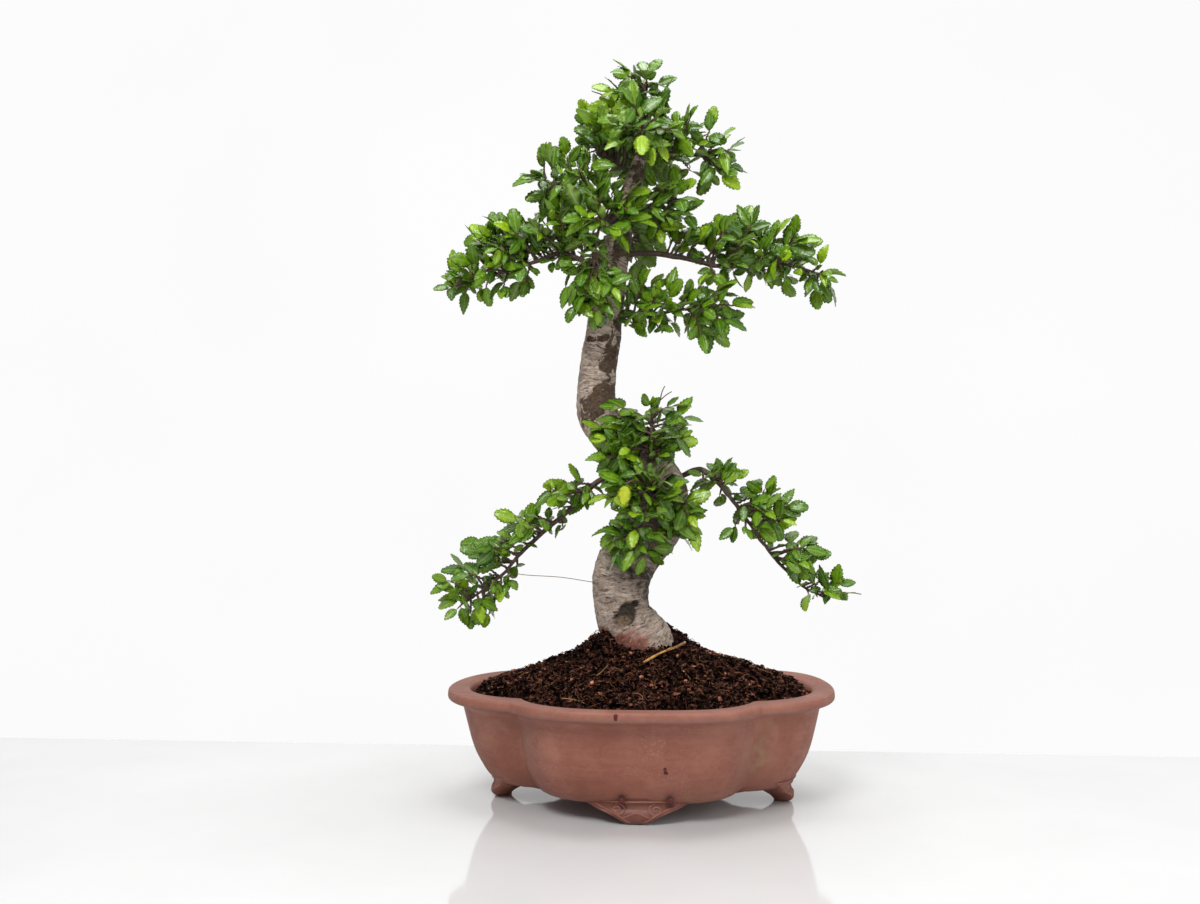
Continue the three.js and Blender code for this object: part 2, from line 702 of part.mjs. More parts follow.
// Shoot of three sides with its leaves, as one closed surface
function leafyShoot(shoot, { leaves, face }) {
  const length = shoot.getLength();
  const stops = [...new Set([0, ...leaves.flatMap((leaf) => [leaf.from, leaf.to]), length])];
  stops.sort((a, b) => a - b);
  const surface = { points: [], index: [] };
  const sections = stops.map((stop) => {
    const share = stop / length;
    const along = shoot.getTangent(share);
    const up = squareTo(face, along);
    const across = new THREE.Vector3().crossVectors(up, along);
    const half = THREE.MathUtils.lerp(SHOOT_RADIUS, SHOOT_TIP_RADIUS, share);
    const put = (side, lift) => surface.points.push(
      shoot.getPoint(share).addScaledVector(across, side * half).addScaledVector(up, lift * half)) - 1;
    return { left: put(1, -0.5), right: put(-1, -0.5), ridge: put(0, 1) };
  });
  surface.index.push(sections[0].ridge, sections[0].left, sections[0].right);
  for (let i = 0; i + 1 < sections.length; i++) {
    const [a, b] = [sections[i], sections[i + 1]];
    surface.index.push(a.left, b.left, b.right, a.left, b.right, a.right);
    const onLeft = leaves.find((leaf) => leaf.from === stops[i] && leaf.side > 0);
    const onRight = leaves.find((leaf) => leaf.from === stops[i] && leaf.side < 0);
    if (onLeft) {
      addLeaf(surface, a.left, [a.ridge, b.ridge], b.left, onLeft);
    } else {
      surface.index.push(a.ridge, b.ridge, b.left, a.ridge, b.left, a.left);
    }
    if (onRight) {
      addLeaf(surface, b.right, [b.ridge, a.ridge], a.right, onRight);
    } else {
      surface.index.push(a.ridge, b.right, b.ridge, a.ridge, a.right, b.right);
    }
  }
  const end = sections.at(-1);
  const atTip = leaves.find((leaf) => leaf.side === 0);
  if (atTip) {
    addLeaf(surface, end.left, [end.ridge], end.right, atTip);
  } else {
    surface.index.push(end.ridge, end.right, end.left);
  }
  const geometry = new THREE.BufferGeometry().setFromPoints(surface.points);
  geometry.setIndex(surface.index);
  return toSolid(geometry);
}

// One leafy branch as one solid: limb, shoots and leaves
function branchSolid(branch, number, trunkRoom) {
  const limb = new THREE.CatmullRomCurve3(branch.path.map(vector), false, 'catmullrom', 0.5);
  const [thick, thin] = branch.radius;
  const limbSteps = Math.max(4, branch.path.length - 1);
  const taper = (share) => THREE.MathUtils.lerp(thick, thin, share);
  const pieces = [toSolid(tube(limb, limbSteps, LIMB_SIDES, taper))];
  branch.pads.forEach((pad, padNumber) => {
    for (let grown = 0; grown * SHOOT_STEP < pad.shoots; grown++) {
      const k = Math.floor(grown * SHOOT_STEP);
      const random = randomFrom(10000 * number + 100 * padNumber + k);
      const shoot = shootCurve(limb, shootTip(pad, k, random), random);
      const room = curveBeads(shoot, SHOOT_ROOM_START, ROOM_BEADS, () => SHOOT_RADIUS, branch.name);
      if (shoot.getLength() > SHORTEST_SHOOT && isClear(room, branch.name, 0)) {
        const plan = planLeaves(shoot, pad, random, branch.name);
        beads.push(...room);
        pieces.push(leafyShoot(shoot, plan));
      }
    }
  });
  return largestBody(join(pieces).subtract(trunkRoom));
}

// The trunk and all limbs take their room before the first leaf grows
function reserveWood() {
  const stem = new THREE.CatmullRomCurve3(TRUNK.map(vector), false, 'catmullrom', 0.5);
  const spans = TRUNK.length - 1;
  const stemRadius = (share) => TRUNK[Math.round(share * spans)][3] + 1;
  beads.push(...curveBeads(stem, 0, 3 * spans, stemRadius, 'trunk'));
  for (const branch of BRANCHES) {
    const limb = new THREE.CatmullRomCurve3(branch.path.map(vector), false, 'catmullrom', 0.5);
    beads.push(...curveBeads(limb, LIMB_START, LIMB_BEADS, () => branch.radius[0], branch.name));
  }
}

const materials = {
  clay: new THREE.MeshStandardMaterial({ color: COLORS.clay, roughness: 0.78, metalness: 0 }),
  soil: new THREE.MeshStandardMaterial({ color: COLORS.soil, roughness: 0.95, metalness: 0 }),
  bark: new THREE.MeshStandardMaterial({ color: COLORS.bark, roughness: 0.85, metalness: 0 }),
  mesh: new THREE.MeshStandardMaterial({ color: COLORS.mesh, roughness: 0.6, metalness: 0 }),
  leaf: new THREE.MeshStandardMaterial({ color: COLORS.leaf, roughness: 0.4, metalness: 0 }),
};

const bonsai = new THREE.Group();
bonsai.add(namedMesh('pot', potSolid(), materials.clay));
bonsai.add(namedMesh('drain_mesh_left', drainMeshSolid(-1), materials.mesh));
bonsai.add(namedMesh('drain_mesh_right', drainMeshSolid(1), materials.mesh));

const trunkRoom = trunkSolid(SEAT_GAP);
bonsai.add(namedMesh('soil', soilSolid(trunkRoom), materials.soil));
bonsai.add(namedMesh('trunk', trunkSolid(0), materials.bark));

reserveWood();
BRANCHES.forEach((branch, number) => {
  bonsai.add(namedMesh(branch.name, branchSolid(branch, number, trunkRoom), materials.leaf));
});

export default bonsai;
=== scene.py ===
"""Chinese elm bonsai in a four-lobed clay pot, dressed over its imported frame."""
import math
import bpy
import numpy as np
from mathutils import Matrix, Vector, noise


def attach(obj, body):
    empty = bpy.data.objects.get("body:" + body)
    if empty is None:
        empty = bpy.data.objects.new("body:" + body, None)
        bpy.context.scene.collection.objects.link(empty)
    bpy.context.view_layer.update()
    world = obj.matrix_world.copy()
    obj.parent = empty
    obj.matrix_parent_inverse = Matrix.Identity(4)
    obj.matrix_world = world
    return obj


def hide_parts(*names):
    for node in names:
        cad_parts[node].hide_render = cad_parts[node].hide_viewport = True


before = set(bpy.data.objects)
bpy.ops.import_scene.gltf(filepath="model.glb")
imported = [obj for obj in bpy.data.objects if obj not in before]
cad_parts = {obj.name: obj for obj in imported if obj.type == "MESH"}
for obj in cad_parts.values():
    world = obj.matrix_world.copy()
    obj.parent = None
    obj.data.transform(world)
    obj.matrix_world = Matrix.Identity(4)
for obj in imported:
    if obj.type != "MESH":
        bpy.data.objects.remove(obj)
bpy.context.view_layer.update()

MM = 0.001

# Pot, in millimetres
POT_LENGTH = 300.0
POT_DEPTH = 230.0
LONG_LOBE_HALF = 103.0
LONG_LOBE_POWER = 3.0
LONG_LOBE_TAPER = 0.7
END_LOBE_RADIUS = 75.0
END_LOBE_DEPTH = 81.0
END_LOBE_NARROWING = 0.4
NARROWING_INSET = 20.0
LOBE_BLEND = 0.6
END_SHIFT = POT_LENGTH / 2 - END_LOBE_RADIUS
POT_SIDES = 288
CREASE_SHARE = 0.106
REAR_RISE = 3.0
# Section of the wall, outside, rim and inside: (inset from the outline, height)
POT_WALL = [
    (60, 13), (46, 13), (38.6, 14.2), (31.8, 19), (27.6, 25), (21.4, 36.3), (18, 46), (15.8, 54.6),
    (13.8, 63), (12.4, 69), (11.6, 72.4), (9.8, 75), (6.8, 76.6), (3.2, 77.9), (1.5, 78.5), (1.0, 78.8),
    (0.2, 79.7), (0, 81.5), (0.2, 84.2), (0.7, 85.6), (2.0, 86.1), (9, 86.2), (15.6, 86), (17.6, 84.4),
    (19, 78), (22.4, 60), (29, 40), (39, 25), (47, 21), (60, 20),
]
UNDERSIDE = 13.0
# Long foot: (half width, height, how far its face stands out)
FOOT_EDGE = [
    (0.0, 0.0, -1.1), (5.0, 0.0, -1.1), (9.2, 1.5, 1.0), (12.5, 3.6, 2.4), (16.0, 6.0, 3.2),
    (22.5, 8.6, 2.8), (31.0, 11.4, 1.2), (36.5, 14.5, 0.8), (43.0, 17.6, 2.5), (50.0, 20.5, 5.0),
]
FOOT_ROWS = 34
FOOT_COLUMNS = 40
FOOT_SOFT_EDGE = 1.4
FOOT_THICKNESS = 10.7
FOOT_INSET = 35.8
FOOT_SLOPE = 1.1
LONG_FOOT_BEND = 150.0
LONG_FOOT_SHIFT = LONG_FOOT_BEND + FOOT_INSET - POT_DEPTH / 2
WET_WALL_SHIFT = 3.1
END_FOOT_SCALE = 0.72
FLOOR = 20.0
DRAIN_RADIUS = 10.0
DRAIN_SPACING = 96.0
DRAIN_SIDES = 48

# Net over each drain hole; section of its bars as shares of their half width and half thickness
NET_SIZE = 36.0
NET_THICKNESS = 1.4
NET_BARS = 9
BAR_SECTION = np.array([
    (-1, -0.6), (-0.6, -1), (0.6, -1), (1, -0.6), (1, 0.6), (0.6, 1), (-0.6, 1), (-1, 0.6),
])

# Pale marks on the front wall: strength, x, half width, height, half height
PALE_MARKS = ((0.55, 42, 9, 21, 7), (0.75, 88, 11, 44, 16), (0.5, -80, 4, 48, 16))

# Two wet streaks on the front, and drops: x, height, (inset), half width, half height
WET_LEFT = -10.5
WET_RIGHT = 23.4
WET_TOP = 21.5
WALL_FRONT = -112.0
FOOT_DROPS = (
    (-9.8, 18.6, 2.7, 1.9), (23.2, 18.6, 2.6, 1.9), (-10.8, 12.8, 1.4, 2.2), (23.6, 13.2, 2.6, 1.6),
)
WALL_DROPS = ((-12.4, 83.0, 0.1, 1.5, 2.6), (24.1, 44.0, 18.6, 1.1, 2.0), (25.1, 41.2, 19.6, 1.6, 1.1))
BEAD_ROWS = 9
BEAD_SIDES = 14
BEAD_DEPTH = 0.4

# Soil
SOIL_EDGE_INSET = 19.0
SOIL_EDGE = 88.0
SOIL_PEAK = 136.0
MOUND_SIDES = 300
MOUND_ROWS = 125
# Soil inside the pot, below its mound: (inset from the outline, height)
SOIL_BODY = ((52.0, FLOOR + 0.4), (35.5, 37.5), (24.0, 62.0), (19.6, 80.0))
CRUMBS = 8300
GOLDEN_RATIO = (1 + math.sqrt(5)) / 2
BALL = np.array([
    (-1, GOLDEN_RATIO, 0), (1, GOLDEN_RATIO, 0), (-1, -GOLDEN_RATIO, 0), (1, -GOLDEN_RATIO, 0),
    (0, -1, GOLDEN_RATIO), (0, 1, GOLDEN_RATIO), (0, -1, -GOLDEN_RATIO), (0, 1, -GOLDEN_RATIO),
    (GOLDEN_RATIO, 0, -1), (GOLDEN_RATIO, 0, 1), (-GOLDEN_RATIO, 0, -1), (-GOLDEN_RATIO, 0, 1),
]) / math.hypot(1, GOLDEN_RATIO)
BALL_FACES = [
    (0, 11, 5), (0, 5, 1), (0, 1, 7), (0, 7, 10), (0, 10, 11), (1, 5, 9), (5, 11, 4), (11, 10, 2),
    (10, 7, 6), (7, 1, 8), (3, 9, 4), (3, 4, 2), (3, 2, 6), (3, 6, 8), (3, 8, 9), (4, 9, 5),
    (2, 4, 11), (6, 2, 10), (8, 6, 7), (9, 8, 1),
]
THREADS = 900
LONG_THREADS = (
    ([(-53, -84, 90.6), (-46, -84, 90.0), (-39, -86, 88.6), (-34, -89, 86.6)], 0.34),
    ([(-3, -80, 94.2), (1, -82, 94.4), (4, -86, 93.4), (5, -90, 91.2)], 0.2),
    ([(-30, -60, 103.6), (-26, -56, 106.6), (-23, -50, 109.6)], 0.26),
)
STRAW = [
    (3.5, -52.0, 112.2), (9.9, -47.6, 115.4), (16.3, -41.0, 118.2), (22.9, -33.0, 119.8),
    (28.7, -22.5, 121.0), (34.0, -12.0, 122.6),
]

# Table, lights and camera, in metres
TABLE_END = 0.184
WORLD_STRENGTH = 0.5
LIGHTS_AIM = (0, 0, 0.3)
# name, place, size, power
LIGHTS = (
    ("key", (-0.34, -1.25, 1.45), 0.6, 22.5),
    ("fill", (1.3, -1.1, 0.8), 1.2, 10.5),
    ("top", (0.1, 0.1, 1.7), 0.9, 16.0),
)
CAMERA_DISTANCE = 0.935
CAMERA_HEIGHT = 0.234
CAMERA_TURN = math.radians(2.5)
PICTURE_WIDTH = 1200

# Trunk: [x, y, z, radius]
TRUNK = np.array([
    [2, 0, 84, 17], [0, 0, 100, 27], [-2, 0, 112, 30], [-4.5, 0, 122, 28.5], [-9, 0, 132, 25],
    [-14.3, 1, 144, 22.0], [-16.0, 2, 161, 22.4], [-13.2, 5, 178, 22.5], [-1.4, 6, 196, 21.6],
    [11.5, 3, 212, 20.2], [16.5, -2, 227.5, 19.3], [12.6, -5, 245.5, 18.5], [-1, -4, 264, 17.5],
    [-20.6, 0, 280.5, 16.6], [-33.4, 5, 297.5, 15.8], [-35.8, 8, 313, 15.3], [-34.2, 8, 338, 15],
    [-30.5, 6, 364, 14.6],
    [-25.6, 3, 395, 13], [-21.4, 1, 414.5, 11.5], [-16.7, 0, 438, 10], [-12, 0, 461, 8.2],
    [-5.8, 0, 480.5, 6.5], [-0.4, 0, 500, 5], [1.2, 0, 519.5, 3.4],
])
TRUNK_ROWS = 400
TRUNK_SIDES = 96
# Small knobs on the front of the trunk: x, height, size
TRUNK_KNOBS = ((-24, 190, 5), (4, 172, 4), (12, 232, 5), (-30, 322, 4), (-36, 300, 5))
# Main roots: direction, length, drop
ROOTS = [(0.35, 62, 26), (1.8, 54, 24), (3.3, 60, 28), (4.9, 52, 26)]
ROOT_START = 112.0

# Shoots and leaves
LEAF_LENGTH = 19.0
LEAF_PITCH = 4.7
LOOSE_PITCH = 6.2
LOOSE_BRANCHES = ("branch_left_low", "branch_right_low")
LEAF_ANGLE = math.radians(52)
LEAF_TURN = 1.4
OLDEST_TONE = 0.18
PALEST_TONE = 0.80
LEAF_CLEARANCE = 1.0
LIGHT = np.array([-0.1, -0.72, 0.68])
LIGHT_PULL = 0.75
LEVEL_SHARE = 0.3
LIMB_SCALE = 0.70
LIMB_STEPS = 10
LIMB_SIDES = 12
SPUR_SPACING = 8.0
SPUR_SIZE = 0.85
SPUR_CLEARANCE = 6
BARE_SHARE = 0.2
BARE_SHARES = {"branch_right_high": 0.45}
TWIGLET_PLACES = (0.35, 0.6)
TWIGLET_SIZE = 0.86
TWIGLET_ROOM = 20
# One old leaf: start and end of its twig, length of its blade
YELLOW_LEAF = ((2.0, -44.0, 244.0), (-9.0, -64.0, 243.5), 14.0)
HAIR = [(-100, -4, 174.5), (-88, -8, 173.2), (-62, -12, 172.0), (-40, -10, 168.6), (-35, -6, 167.6)]
# Bare tips: both ends and the radius
BARE_TIPS = (
    ((-30, -8, 545), (-38, -10, 548), 0.55), ((8, -8, 556), (5, -8, 566), 0.6),
    ((12, -24, 300), (19, -26, 318), 0.6), ((10, -26, 304), (24, -22, 314), 0.5),
)
SHOOT_POINTS = 13
SHOOT_SIDES = 5
SHORTEST_SHOOT = 6
SHOOT_RADIUS = 1.15
SHOOT_TIP_RADIUS = 0.5
SHOOT_LEAN = 0.35
SHOOT_ARCH = 0.14
SHOOT_SWAY = 0.2
SHALLOWEST_SHOOT = 0.72
FACE_UP = 0.45
FACE_OUT = 0.5
FACE_FRONT = 0.8
BACK_SHOOTS = 14.0
FACE_RANDOM = 0.7
GOLDEN_ANGLE = math.pi * (3 - math.sqrt(5))

# Branches: name, limb radius at both ends, path of the limb, leafy masses (centre, half sizes, shoots)
BRANCHES = [
    ("branch_left_low", (3.6, 1.1),
     [[4, -2, 262], [-32, -6, 247], [-56, -6, 224], [-75, -2, 208], [-95, 2, 190], [-106, 2, 177],
      [-122, 0, 163], [-137, -2, 152]],
     [([-54, -8, 238], [26, 28, 17], 9), ([-85, 0, 213], [25, 29, 18], 9),
      ([-119, 0, 194], [21, 27, 17], 6), ([-132, 0, 159], [32, 32, 33], 15)]),
    ("branch_right_low", (3.3, 1),
     [[20, -2, 244], [42, -5, 255], [50, -6, 252], [61, -6, 243], [75, -3, 225], [88, 0, 207],
      [102, 2, 188], [122, 2, 167], [142, 0, 156]],
     [([62, -4, 247], [20, 28, 16], 8), ([97, 0, 223], [26, 32, 24], 13),
      ([122, 0, 190], [22, 26, 20], 8), ([140, 0, 163], [29, 26, 18], 9)]),
    ("branch_front_low", (3, 1.1), [[9, -4, 254], [8, -26, 264], [9, -35, 280], [10, -36, 298]],
     [([-9, -28, 279], [35, 24, 34], 16), ([18, -30, 284], [26, 24, 30], 14)]),
    ("branch_front_hang", (2.8, 1), [[18, -4, 234], [8, -28, 238], [4, -38, 226], [2, -40, 204]],
     [([2, -38, 240], [36, 24, 28], 17), ([-2, -36, 200], [34, 22, 23], 12),
      ([32, -24, 217], [18, 22, 23], 7)]),
    ("branch_back_low", (3, 1.2), [[6, 2, 258], [-2, 28, 264], [-8, 52, 258]],
     [([-4, 50, 256], [36, 30, 34], 13)]),
    ("branch_right_mid", (3, 1),
     [[-28, 5, 373], [-10, -3, 375], [10, -4, 376], [32, -5, 379], [58, -5, 381]],
     [([8, -8, 382], [31, 34, 29], 13), ([52, -5, 380], [33, 40, 33], 15)]),
    ("branch_left_high", (3.8, 1.1),
     [[-20, 1, 415], [-40, 2, 417], [-63, 2, 425], [-87, 0, 417], [-110, 0, 410], [-146, 0, 400]],
     [([-69, 4, 439], [34, 40, 31], 14), ([-111, 0, 425], [34, 42, 40], 18),
      ([-141, 0, 403], [24, 32, 19], 8)]),
    ("branch_right_high", (4, 1.1),
     [[-19, 1, 421], [-2, 0, 424], [18, -2, 422], [40, -3, 417.5], [60, -2, 413], [85, 0, 412],
      [110, 0, 413.6], [142, 0, 404]],
     [([36, -4, 431], [22, 30, 15], 6), ([76, 4, 429], [30, 40, 32], 14),
      ([110, 0, 422], [31, 38, 29], 16), ([137, 0, 401], [18, 26, 16], 5)]),
    ("branch_back_high", (3.2, 1.1), [[-19, 1, 424], [-14, 28, 438], [-6, 52, 447], [0, 66, 450]],
     [([-13, 60, 446], [35, 36, 33], 14)]),
    ("branch_front_high", (2.8, 1), [[-17, 0, 436], [-25, -26, 446], [-31, -38, 432], [-34, -42, 404]],
     [([-24, -34, 448], [38, 24, 32], 15), ([-36, -36, 392], [30, 20, 36], 14)]),
    ("branch_right_crown", (2.2, 0.9), [[-13, 0, 452], [6, -6, 459], [26, -10, 461]],
     [([20, -12, 458], [27, 34, 30], 15)]),
    ("branch_left_crown", (2.6, 0.9), [[-12, 0, 458], [-36, -2, 468], [-60, -4, 476], [-82, -4, 482]],
     [([-58, -4, 481], [38, 38, 30], 18)]),
    ("branch_apex_left", (2.2, 0.9), [[-5, 0, 484], [-20, 0, 495], [-36, 0, 503]],
     [([-25, 0, 519], [28, 34, 30], 15)]),
    ("branch_apex_right", (2.4, 0.9), [[-3, 0, 489], [14, -2, 494], [30, -4, 497], [54, -5, 498]],
     [([34, -5, 509], [31, 36, 26], 13), ([61, -5, 494], [21, 30, 24], 9)]),
    ("branch_apex_front", (2, 0.9), [[-1, 0, 498], [2, -20, 506], [4, -36, 511]],
     [([2, -40, 509], [36, 24, 28], 13)]),
    ("branch_apex_back", (2, 0.9), [[-1, 0, 502], [2, 20, 508], [5, 40, 514]],
     [([0, 44, 511], [36, 26, 28], 13)]),
    ("branch_apex_top", (2.8, 1), [[1, 0, 514], [2, 0, 536], [3, 0, 556]],
     [([-3, 0, 546], [33, 32, 34], 18)]),
]


def random_from(seed):
    """The same numbers between 0 and 1 for the same seed."""
    state = seed

    def draw():
        nonlocal state
        state = (state * 1664525 + 1013904223) % 4294967296
        return state / 4294967296
    for _ in range(3):
        draw()
    return draw


def unit(vector):
    return vector / np.linalg.norm(vector)


def square_to(direction, axis):
    return unit(direction - axis * np.dot(direction, axis))


def spline_point(points, share):
    """Point on the smooth curve through all the points; share 0 is the first and 1 the last."""
    last = len(points) - 1
    place = share * last
    i = min(int(place), last - 1)
    w = place - i
    p1, p2 = points[i], points[i + 1]
    p0 = points[i - 1] if i > 0 else 2 * p1 - p2
    p3 = points[i + 2] if i + 2 <= last else 2 * p2 - p1
    t0, t1 = 0.5 * (p2 - p0), 0.5 * (p3 - p1)
    return p1 + t0 * w + (-3 * p1 + 3 * p2 - 2 * t0 - t1) * w * w + (2 * p1 - 2 * p2 + t0 + t1) * w ** 3


def spline(points, count):
    """That many points along the smooth curve, evenly in share."""
    return np.array([spline_point(points, share) for share in np.linspace(0, 1, count)])


def path_length(path):
    return float(np.linalg.norm(np.diff(path, axis=0), axis=1).sum())


def path_frames(path, up):
    """Two cross directions at each point of a path, without twist from point to point."""
    tangents = np.gradient(path, axis=0)
    tangents /= np.linalg.norm(tangents, axis=1)[:, None]
    first = np.array(up, float)
    if abs(np.dot(first, tangents[0])) > 0.9:
        first = np.array([0.0, -1.0, 0.0])
    normal = square_to(first, tangents[0])
    normals = []
    for tangent in tangents:
        normal = square_to(normal, tangent)
        normals.append(normal)
    normals = np.array(normals)
    return normals, np.cross(tangents, normals)


def full_turn(sides):
    """Angles of that many places, evenly round one turn."""
    return np.arange(sides) * 2 * math.pi / sides


def square_directions(path, sides, up=(0.0, 0.0, 1.0)):
    """Directions square to a path at each of its points, evenly all round."""
    normals, binormals = path_frames(path, up)
    angles = full_turn(sides)
    around = np.cos(angles)[None, :, None] * normals[:, None, :]
    return around + np.sin(angles)[None, :, None] * binormals[:, None, :]


def flat_ring(x, y, height):
    return np.stack([x, y, np.full(len(x), height)], axis=1)


def clamp(values):
    return np.clip(values, 0, 1)


def hump(distance):
    """Soft hump: 1 at no distance, and near 0 from a distance of 2."""
    return np.exp(-distance ** 2)


class Surface:
    """Points and faces of one piece, gathered in millimetres, with values per point and per face."""

    def __init__(self):
        self.points, self.faces, self.count = [], [], 0
        self.point_values, self.face_values, self.uvs = {}, {}, []

    def add(self, points, faces, point_values=None, face_values=None, uvs=None):
        points = np.asarray(points, float)
        self.points.append(points)
        self.faces.extend([tuple(i + self.count for i in face) for face in faces])
        for name, values in (point_values or {}).items():
            self.point_values.setdefault(name, []).append(np.broadcast_to(values, len(points)))
        for name, values in (face_values or {}).items():
            self.face_values.setdefault(name, []).append(np.broadcast_to(values, len(faces)))
        if uvs is not None:
            self.uvs.append(np.asarray(uvs, float))
        self.count += len(points)

    def grid(self, rings, caps=True, **values):
        """Closed rings of equal length, joined one to the next."""
        rings = np.asarray(rings, float)
        rows, count = rings.shape[:2]
        faces = []
        for row in range(rows - 1):
            for side in range(count):
                a, b = row * count + side, row * count + (side + 1) % count
                faces.append((a, b, b + count, a + count))
        if caps:
            faces.append(tuple(range(count - 1, -1, -1)))
            faces.append(tuple((rows - 1) * count + i for i in range(count)))
        self.add(rings.reshape(-1, 3), faces, **values)

    def tube(self, path, radii, sides=6, wobble=None, **values):
        path = np.asarray(path, float)
        radii = np.broadcast_to(radii, len(path))
        rings = path[:, None, :] + radii[:, None, None] * square_directions(path, sides)
        if wobble is not None:
            rings += wobble(rings)
        self.grid(rings, **values)

    def build(self, name, material, slot, replaces=(), smooth=True):
        points = np.concatenate(self.points) * MM
        mesh = bpy.data.meshes.new(name)
        mesh.from_pydata(points.tolist(), [], self.faces)
        for key, parts in self.point_values.items():
            layer = mesh.attributes.new(key, "FLOAT", "POINT")
            layer.data.foreach_set("value", np.concatenate(parts).astype(np.float32))
        for key, parts in self.face_values.items():
            layer = mesh.attributes.new(key, "FLOAT", "FACE")
            layer.data.foreach_set("value", np.concatenate(parts).astype(np.float32))
        if self.uvs:
            uv = np.concatenate(self.uvs)
            corner_points = np.zeros(len(mesh.loops), np.int32)
            mesh.loops.foreach_get("vertex_index", corner_points)
            layer = mesh.uv_layers.new(name="Blade")
            layer.data.foreach_set("uv", uv[corner_points].astype(np.float32).ravel())
        mesh.materials.append(material)
        if smooth:
            mesh.shade_smooth()
        piece = bpy.data.objects.new(name, mesh)
        bpy.context.scene.collection.objects.link(piece)
        if replaces:
            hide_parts(*replaces)
        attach(piece, "root")


def lumps(points, size, seed=0.0, octaves=3):
    """Smooth noise from about -1 to 1 at each point; size is the width of its lumps in millimetres."""
    points = np.asarray(points, float)
    values = []
    for x, y, z in points.reshape(-1, 3):
        place = Vector((x / size + seed, y / size - seed, z / size))
        values.append(noise.fractal(place, 1.0, 2.0, octaves))
    return np.array(values).reshape(points.shape[:-1])


# Materials

class Nodes:
    """Small helper to write a material's node tree line by line."""

    def __init__(self, name):
        self.material = bpy.data.materials.new(name)
        self.material.use_nodes = True
        self.tree = self.material.node_tree
        self.shader = self.tree.nodes["Principled BSDF"]

    def node(self, kind, **settings):
        made = self.tree.nodes.new(kind)
        for key, value in settings.items():
            setattr(made, key, value)
        return made

    def put(self, source, target):
        if isinstance(source, (int, float)):
            target.default_value = source
        elif isinstance(source, tuple):
            target.default_value = (*source, 1.0) if len(source) == 3 and target.type == "RGBA" else source
        else:
            self.tree.links.new(source, target)

    def place(self):
        return self.node("ShaderNodeTexCoord").outputs["Object"]

    def value(self, name):
        return self.node("ShaderNodeAttribute", attribute_name=name).outputs["Fac"]

    def uv(self):
        return self.node("ShaderNodeUVMap", uv_map="Blade").outputs["UV"]

    def stretch(self, source, scale):
        mapping = self.node("ShaderNodeMapping")
        self.put(source, mapping.inputs["Vector"])
        mapping.inputs["Scale"].default_value = scale
        return mapping.outputs["Vector"]

    def noise(self, source, scale, detail=4.0, roughness=0.55, distortion=0.0):
        made = self.node("ShaderNodeTexNoise")
        self.put(source, made.inputs["Vector"])
        made.inputs["Scale"].default_value = scale
        made.inputs["Detail"].default_value = detail
        made.inputs["Roughness"].default_value = roughness
        made.inputs["Distortion"].default_value = distortion
        return made.outputs["Fac"]

    def cells(self, source, scale):
        made = self.node("ShaderNodeTexVoronoi")
        self.put(source, made.inputs["Vector"])
        made.inputs["Scale"].default_value = scale
        return made.outputs["Distance"]

    def ramp(self, source, *stops):
        """Curve through (position, value or colour) stops."""
        made = self.node("ShaderNodeValToRGB")
        self.put(source, made.inputs["Fac"])
        ramp = made.color_ramp
        while len(ramp.elements) < len(stops):
            ramp.elements.new(0.5)
        for element, (position, value) in zip(ramp.elements, stops):
            element.position = position
            colour = (value,) * 3 if isinstance(value, (int, float)) else value
            element.color = (*colour, 1.0)
        return made.outputs["Color"]

    def mix(self, amount, a, b, blend="MIX"):
        made = self.node("ShaderNodeMix", data_type="RGBA", blend_type=blend)
        self.put(amount, made.inputs["Factor"])
        self.put(a, made.inputs[6])
        self.put(b, made.inputs[7])
        return made.outputs[2]

    def layer(self, colour, source, start, end, new):
        """Lays a new colour over another, with a share that the source takes between two stops."""
        return self.mix(self.ramp(source, start, end), colour, new)

    def between(self, source, low, high, a, b):
        """Colour a where the source is low, colour b where it is high."""
        return self.mix(self.ramp(source, (low, 0.0), (high, 1.0)), a, b)

    def math(self, operation, a, b=0.0):
        made = self.node("ShaderNodeMath", operation=operation)
        self.put(a, made.inputs[0])
        self.put(b, made.inputs[1])
        return made.outputs[0]

    def times(self, a, b):
        return self.math("MULTIPLY", a, b)

    def split(self, source):
        made = self.node("ShaderNodeSeparateXYZ")
        self.put(source, made.inputs[0])
        return made.outputs

    def join(self, x, y, z):
        made = self.node("ShaderNodeCombineXYZ")
        for source, target in zip((x, y, z), made.inputs):
            self.put(source, target)
        return made.outputs[0]

    def bump(self, height, strength, distance):
        made = self.node("ShaderNodeBump")
        self.put(height, made.inputs["Height"])
        made.inputs["Strength"].default_value = strength
        made.inputs["Distance"].default_value = distance
        previous = self.shader.inputs["Normal"].links
        if previous:
            self.tree.links.new(previous[0].from_socket, made.inputs["Normal"])
        self.tree.links.new(made.outputs["Normal"], self.shader.inputs["Normal"])

    def finish(self, colour, roughness, **constants):
        self.put(colour, self.shader.inputs["Base Color"])
        self.put(roughness, self.shader.inputs["Roughness"])
        for name, value in constants.items():
            self.shader.inputs[name.replace("_", " ")].default_value = value
        return self.material


